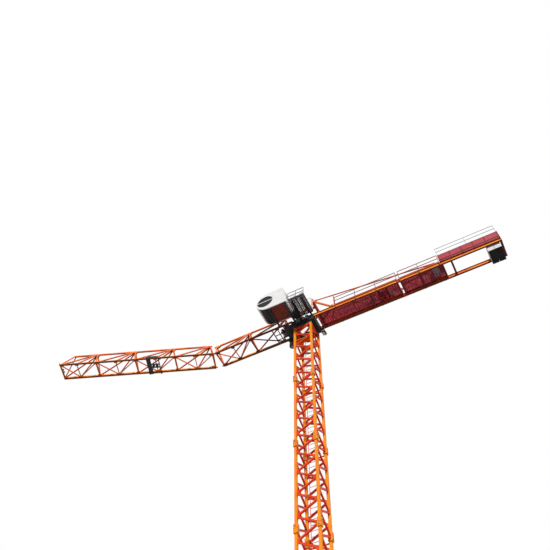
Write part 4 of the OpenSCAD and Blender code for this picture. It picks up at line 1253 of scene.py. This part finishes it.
def addCabDoor(size):
    # closed door in the leaning rear wall, with its window, hinges and handle
    up = Vector((-size["lean"], 0, size["height"])).normalized()
    across = Vector((0, 1, 0))
    out = across.cross(up)
    turn = Matrix((across, up, out)).transposed().to_4x4()
    middle = (size["near"] + size["far"]) / 2
    place = Matrix.Translation((size["rear"], middle, size["floor"])) @ turn
    panel, window, steel = bmesh.new(), bmesh.new(), bmesh.new()
    half, height = size["doorWidth"] / 2, size["doorHeight"]
    addBox(panel, (-half, 0.08, 0.0), (half, 0.08 + height, 0.014))
    addBox(window, (-half + 0.1, 0.95, 0.012), (half - 0.1, height - 0.04, 0.018))
    addRing(steel, (0, 1.285, 0.014), (0, 0, 1), 0.02, 0.012, 0.006, 20)
    for y in size["doorHinges"]:
        addRod(steel, (-half - 0.012, y - 0.05, 0.012), (-half - 0.012, y + 0.05, 0.012), 0.012, 14)
    addRod(steel, (half - 0.06, 0.78, 0.045), (half - 0.06, 0.92, 0.045), 0.009, 12)
    for y in (0.79, 0.91):
        addRod(steel, (half - 0.06, y, 0.012), (half - 0.06, y, 0.047), 0.007, 12)
    for x in (-half - 0.08, half + 0.08):
        addRod(steel, (x, 0.5, 0.06), (x, 1.3, 0.06), 0.012, 12)
        for y in (0.51, 1.29):
            addRod(steel, (x, y, 0), (x, y, 0.06), 0.01, 12)
    finishPiece("cabDoor", panel, "white", "upper", place=place)
    finishPiece("cabDoorWindow", window, "glass", "upper", place=place)
    finishPiece("cabDoorSteel", steel, "dark", "upper", place=place)


def addCabMounts(size):
    # rubber blocks between the cab's beams and its floor, beside the beams
    bm = bmesh.new()
    for x in (size["rear"] - 0.2, size["noseX"]):
        for y in (size["near"] + 0.16, size["far"] - 0.1):
            addRod(bm, (x + 0.05, y, size["floor"] - 0.05), (x + 0.05, y, size["floor"] - 0.012), 0.075, 28)
    finishPiece("cabMounts", bm, "rubber", "upper")


platform = {
    "startX": -0.33,
    "endX": 0.85,
    "near": -2.2,
    "far": -0.69,
    "z": mastTop + 0.93,
    "frame": 0.06,
    "gratingBars": 80,
    "gratingRods": 16,
    "fan": (-0.2, -1.12),
    "fanRadius": 0.29,
    "fanDepth": 0.2,
    "guardRings": 4,
    "guardStep": 0.066,
}


def addPlatformGrating(size):
    # bearing bars with rods across them, and boards along two edges
    grating, boards = bmesh.new(), bmesh.new()
    low = size["z"] + size["frame"]
    count = size["gratingBars"]
    for k in range(count + 1):
        x = size["startX"] + 0.003 + k * (size["endX"] - size["startX"] - 0.006) / count
        addBox(grating, (x - 0.002, size["near"], low), (x + 0.002, size["far"], low + 0.03))
    for k in range(size["gratingRods"]):
        y = size["near"] + 0.005 + k * 0.1
        addBox(grating, (size["startX"], y - 0.003, low + 0.008), (size["endX"], y + 0.003, low + 0.016))
    addBox(boards, (size["startX"], size["near"], low), (size["endX"], size["near"] + 0.006, low + 0.12))
    addBox(boards, (size["endX"] - 0.006, size["near"], low), (size["endX"], size["far"], low + 0.12))
    finishPiece("platformGrating", grating, "dark", "upper")
    finishPiece("platformBoards", boards, "dark", "upper")


def addFan(size):
    # round fan housing hung under the platform's bearer, with rings and bars across its mouth
    housing, grille = bmesh.new(), bmesh.new()
    x, y = size["fan"]
    radius = size["fanRadius"]
    high = chordZ - 0.05
    low = high - size["fanDepth"]
    addRing(housing, (x, y, low), (0, 0, 1), radius, radius - 0.02, size["fanDepth"], 48)
    addRod(housing, (x, y, high - 0.12), (x, y, high - 0.06), radius - 0.01, 48)
    for k in range(size["guardRings"]):
        inner = 0.06 + k * size["guardStep"]
        addRing(grille, (x, y, low), (0, 0, 1), inner + 0.008, inner, 0.006, 40)
    middle = Vector((x, y, low + 0.003))
    for k in range(4):
        angle = math.pi * k / 4
        reach = Vector((math.cos(angle), math.sin(angle), 0)) * (radius - 0.005)
        addRod(grille, middle - reach, middle + reach, 0.004, 8)
    finishPiece("fanHousing", housing, "dark", "upper")
    finishPiece("fanGrille", grille, "dark", "upper")


cabinets = (
    {"low": (-0.25, -1.9), "high": (0.0, -1.25), "height": 0.9},
    {"low": (0.42, -1.9), "high": (0.67, -1.25), "height": 0.72},
    {"low": (0.60, -1.04), "high": (0.85, -0.74), "height": 1.1},
)


def addCabinetDetails(sizes):
    # doors, hinges, handles, vents and rain hoods of the cabinets
    doors, steel = bmesh.new(), bmesh.new()
    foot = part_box("control_cabinets")[0].z
    for size in sizes:
        lowX, y = size["low"]
        highX, farY = size["high"]
        top = foot + size["height"]
        middle = foot + size["height"] / 2
        addBox(doors, (lowX + 0.02, y - 0.012, foot + 0.05), (highX - 0.02, y, top - 0.03))
        addBox(doors, (lowX - 0.015, y - 0.03, top), (highX + 0.015, farY, top + 0.012))
        hingeX, hingeY = lowX + 0.022, y - 0.014
        for z in (foot + 0.14, top - 0.12):
            addRod(steel, (hingeX, hingeY, z - 0.03), (hingeX, hingeY, z + 0.03), 0.008, 12)
        addBox(steel, (highX - 0.06, y - 0.022, middle - 0.05), (highX - 0.04, y - 0.012, middle + 0.05))
        for k in range(6):
            z = foot + 0.1 + k * 0.02
            addBox(steel, (lowX + 0.06, y - 0.014, z), (highX - 0.07, y - 0.012, z + 0.007))
    finishPiece("cabinetDoors", doors, "white", "upper")
    finishPiece("cabinetSteel", steel, "dark", "upper")


addHeadDetails(head)
addCabFloor(cab)
addPortholes(cab)
addFrontFrames(cab)
addCabDoor(cab)
addCabMounts(cab)
addPlatformGrating(platform)
addFan(platform)
addCabinetDetails(cabinets)
print("head, cab and platform dressed")


# Stage, light and camera

stageSettings = {
    "floorRadius": 14.0,
    "floorColor": (0.78, 0.78, 0.77),
    "worldColor": (0.96, 0.98, 1.0),
    "worldStrength": 0.13,
    "seenMore": 0.87,
}


def addFloor(settings):
    bm = bmesh.new()
    bmesh.ops.create_circle(bm, cap_ends=True, radius=settings["floorRadius"], segments=96)
    bmesh.ops.translate(bm, verts=bm.verts, vec=(0, 0, cadBox[0][2] - 0.002))
    mesh = bpy.data.meshes.new("floor")
    bm.to_mesh(mesh)
    bm.free()
    floor = bpy.data.objects.new("floor", mesh)
    bpy.context.collection.objects.link(floor)
    mat = bpy.data.materials.new("floorPale")
    mat.use_nodes = True
    shader = mat.node_tree.nodes["Principled BSDF"]
    shader.inputs["Base Color"].default_value = (*settings["floorColor"], 1)
    shader.inputs["Roughness"].default_value = 0.8
    mesh.materials.append(mat)


def addSun(name, direction, strength, angle):
    light = bpy.data.lights.new(name, "SUN")
    light.energy = strength
    light.angle = math.radians(angle)
    obj = bpy.data.objects.new(name, light)
    obj.rotation_euler = Vector(direction).to_track_quat("-Z", "Y").to_euler()
    bpy.context.collection.objects.link(obj)


def addWorld(settings):
    # soft grey light; the camera, glass and gloss see white
    world = bpy.data.worlds.new("studio")
    world.use_nodes = True
    bpy.context.scene.world = world
    tree = world.node_tree
    background = tree.nodes["Background"]
    path = tree.nodes.new("ShaderNodeLightPath").outputs
    seen = mathNode(tree, "MAXIMUM", path["Is Camera Ray"], path["Is Glossy Ray"])
    seen = mathNode(tree, "MAXIMUM", seen, path["Is Transmission Ray"])
    more = mathNode(tree, "MULTIPLY", seen, settings["seenMore"])
    tree.links.new(mathNode(tree, "ADD", more, settings["worldStrength"]), background.inputs["Strength"])
    color = mixColors(tree, seen, settings["worldColor"], (1.0, 1.0, 1.0))
    tree.links.new(color, background.inputs["Color"])


suns = (
    {"name": "keyLight", "direction": (-0.40, 0.67, -0.63), "strength": 4.2, "angle": 8},
    {"name": "lowFill", "direction": (-0.2, 0.5, 0.9), "strength": 0.10, "angle": 60},
    {"name": "backFill", "direction": (0.5, -0.9, -0.6), "strength": 0.7, "angle": 60},
)

addFloor(stageSettings)
addWorld(stageSettings)
for sun in suns:
    addSun(**sun)

cameraSettings = {
    "place": (9.52, -21.18, -31.99),   # from the mast top, on its axis
    "yaw": -29.76,
    "pitch": 59.44,
    "roll": 2.77,
    "focalPixels": 600.0,
    "framePixels": 550.0,
    "sensor": 36.0,
}


def addCamera(settings):
    yaw, pitch, roll = (math.radians(settings[k]) for k in ("yaw", "pitch", "roll"))
    forward = Vector((math.sin(yaw) * math.cos(pitch), math.cos(yaw) * math.cos(pitch), math.sin(pitch)))
    level = Vector((math.cos(yaw), -math.sin(yaw), 0))
    upright = level.cross(forward)
    right = level * math.cos(roll) + upright * math.sin(roll)
    up = upright * math.cos(roll) - level * math.sin(roll)
    turn = Matrix((right, up, -forward)).transposed()
    lens = bpy.data.cameras.new("photoCamera")
    lens.sensor_width = settings["sensor"]
    lens.lens = settings["focalPixels"] * settings["sensor"] / settings["framePixels"]
    lens.clip_start = 0.1
    lens.clip_end = 300
    camera = bpy.data.objects.new("photoCamera", lens)
    place = Vector(settings["place"]) + Vector((0, 0, mastTop))
    camera.matrix_world = Matrix.Translation(place) @ turn.to_4x4()
    bpy.context.collection.objects.link(camera)
    bpy.context.scene.camera = camera


addCamera(cameraSettings)
bpy.context.scene.view_settings.view_transform = "Standard"
print("stage, light and camera set")
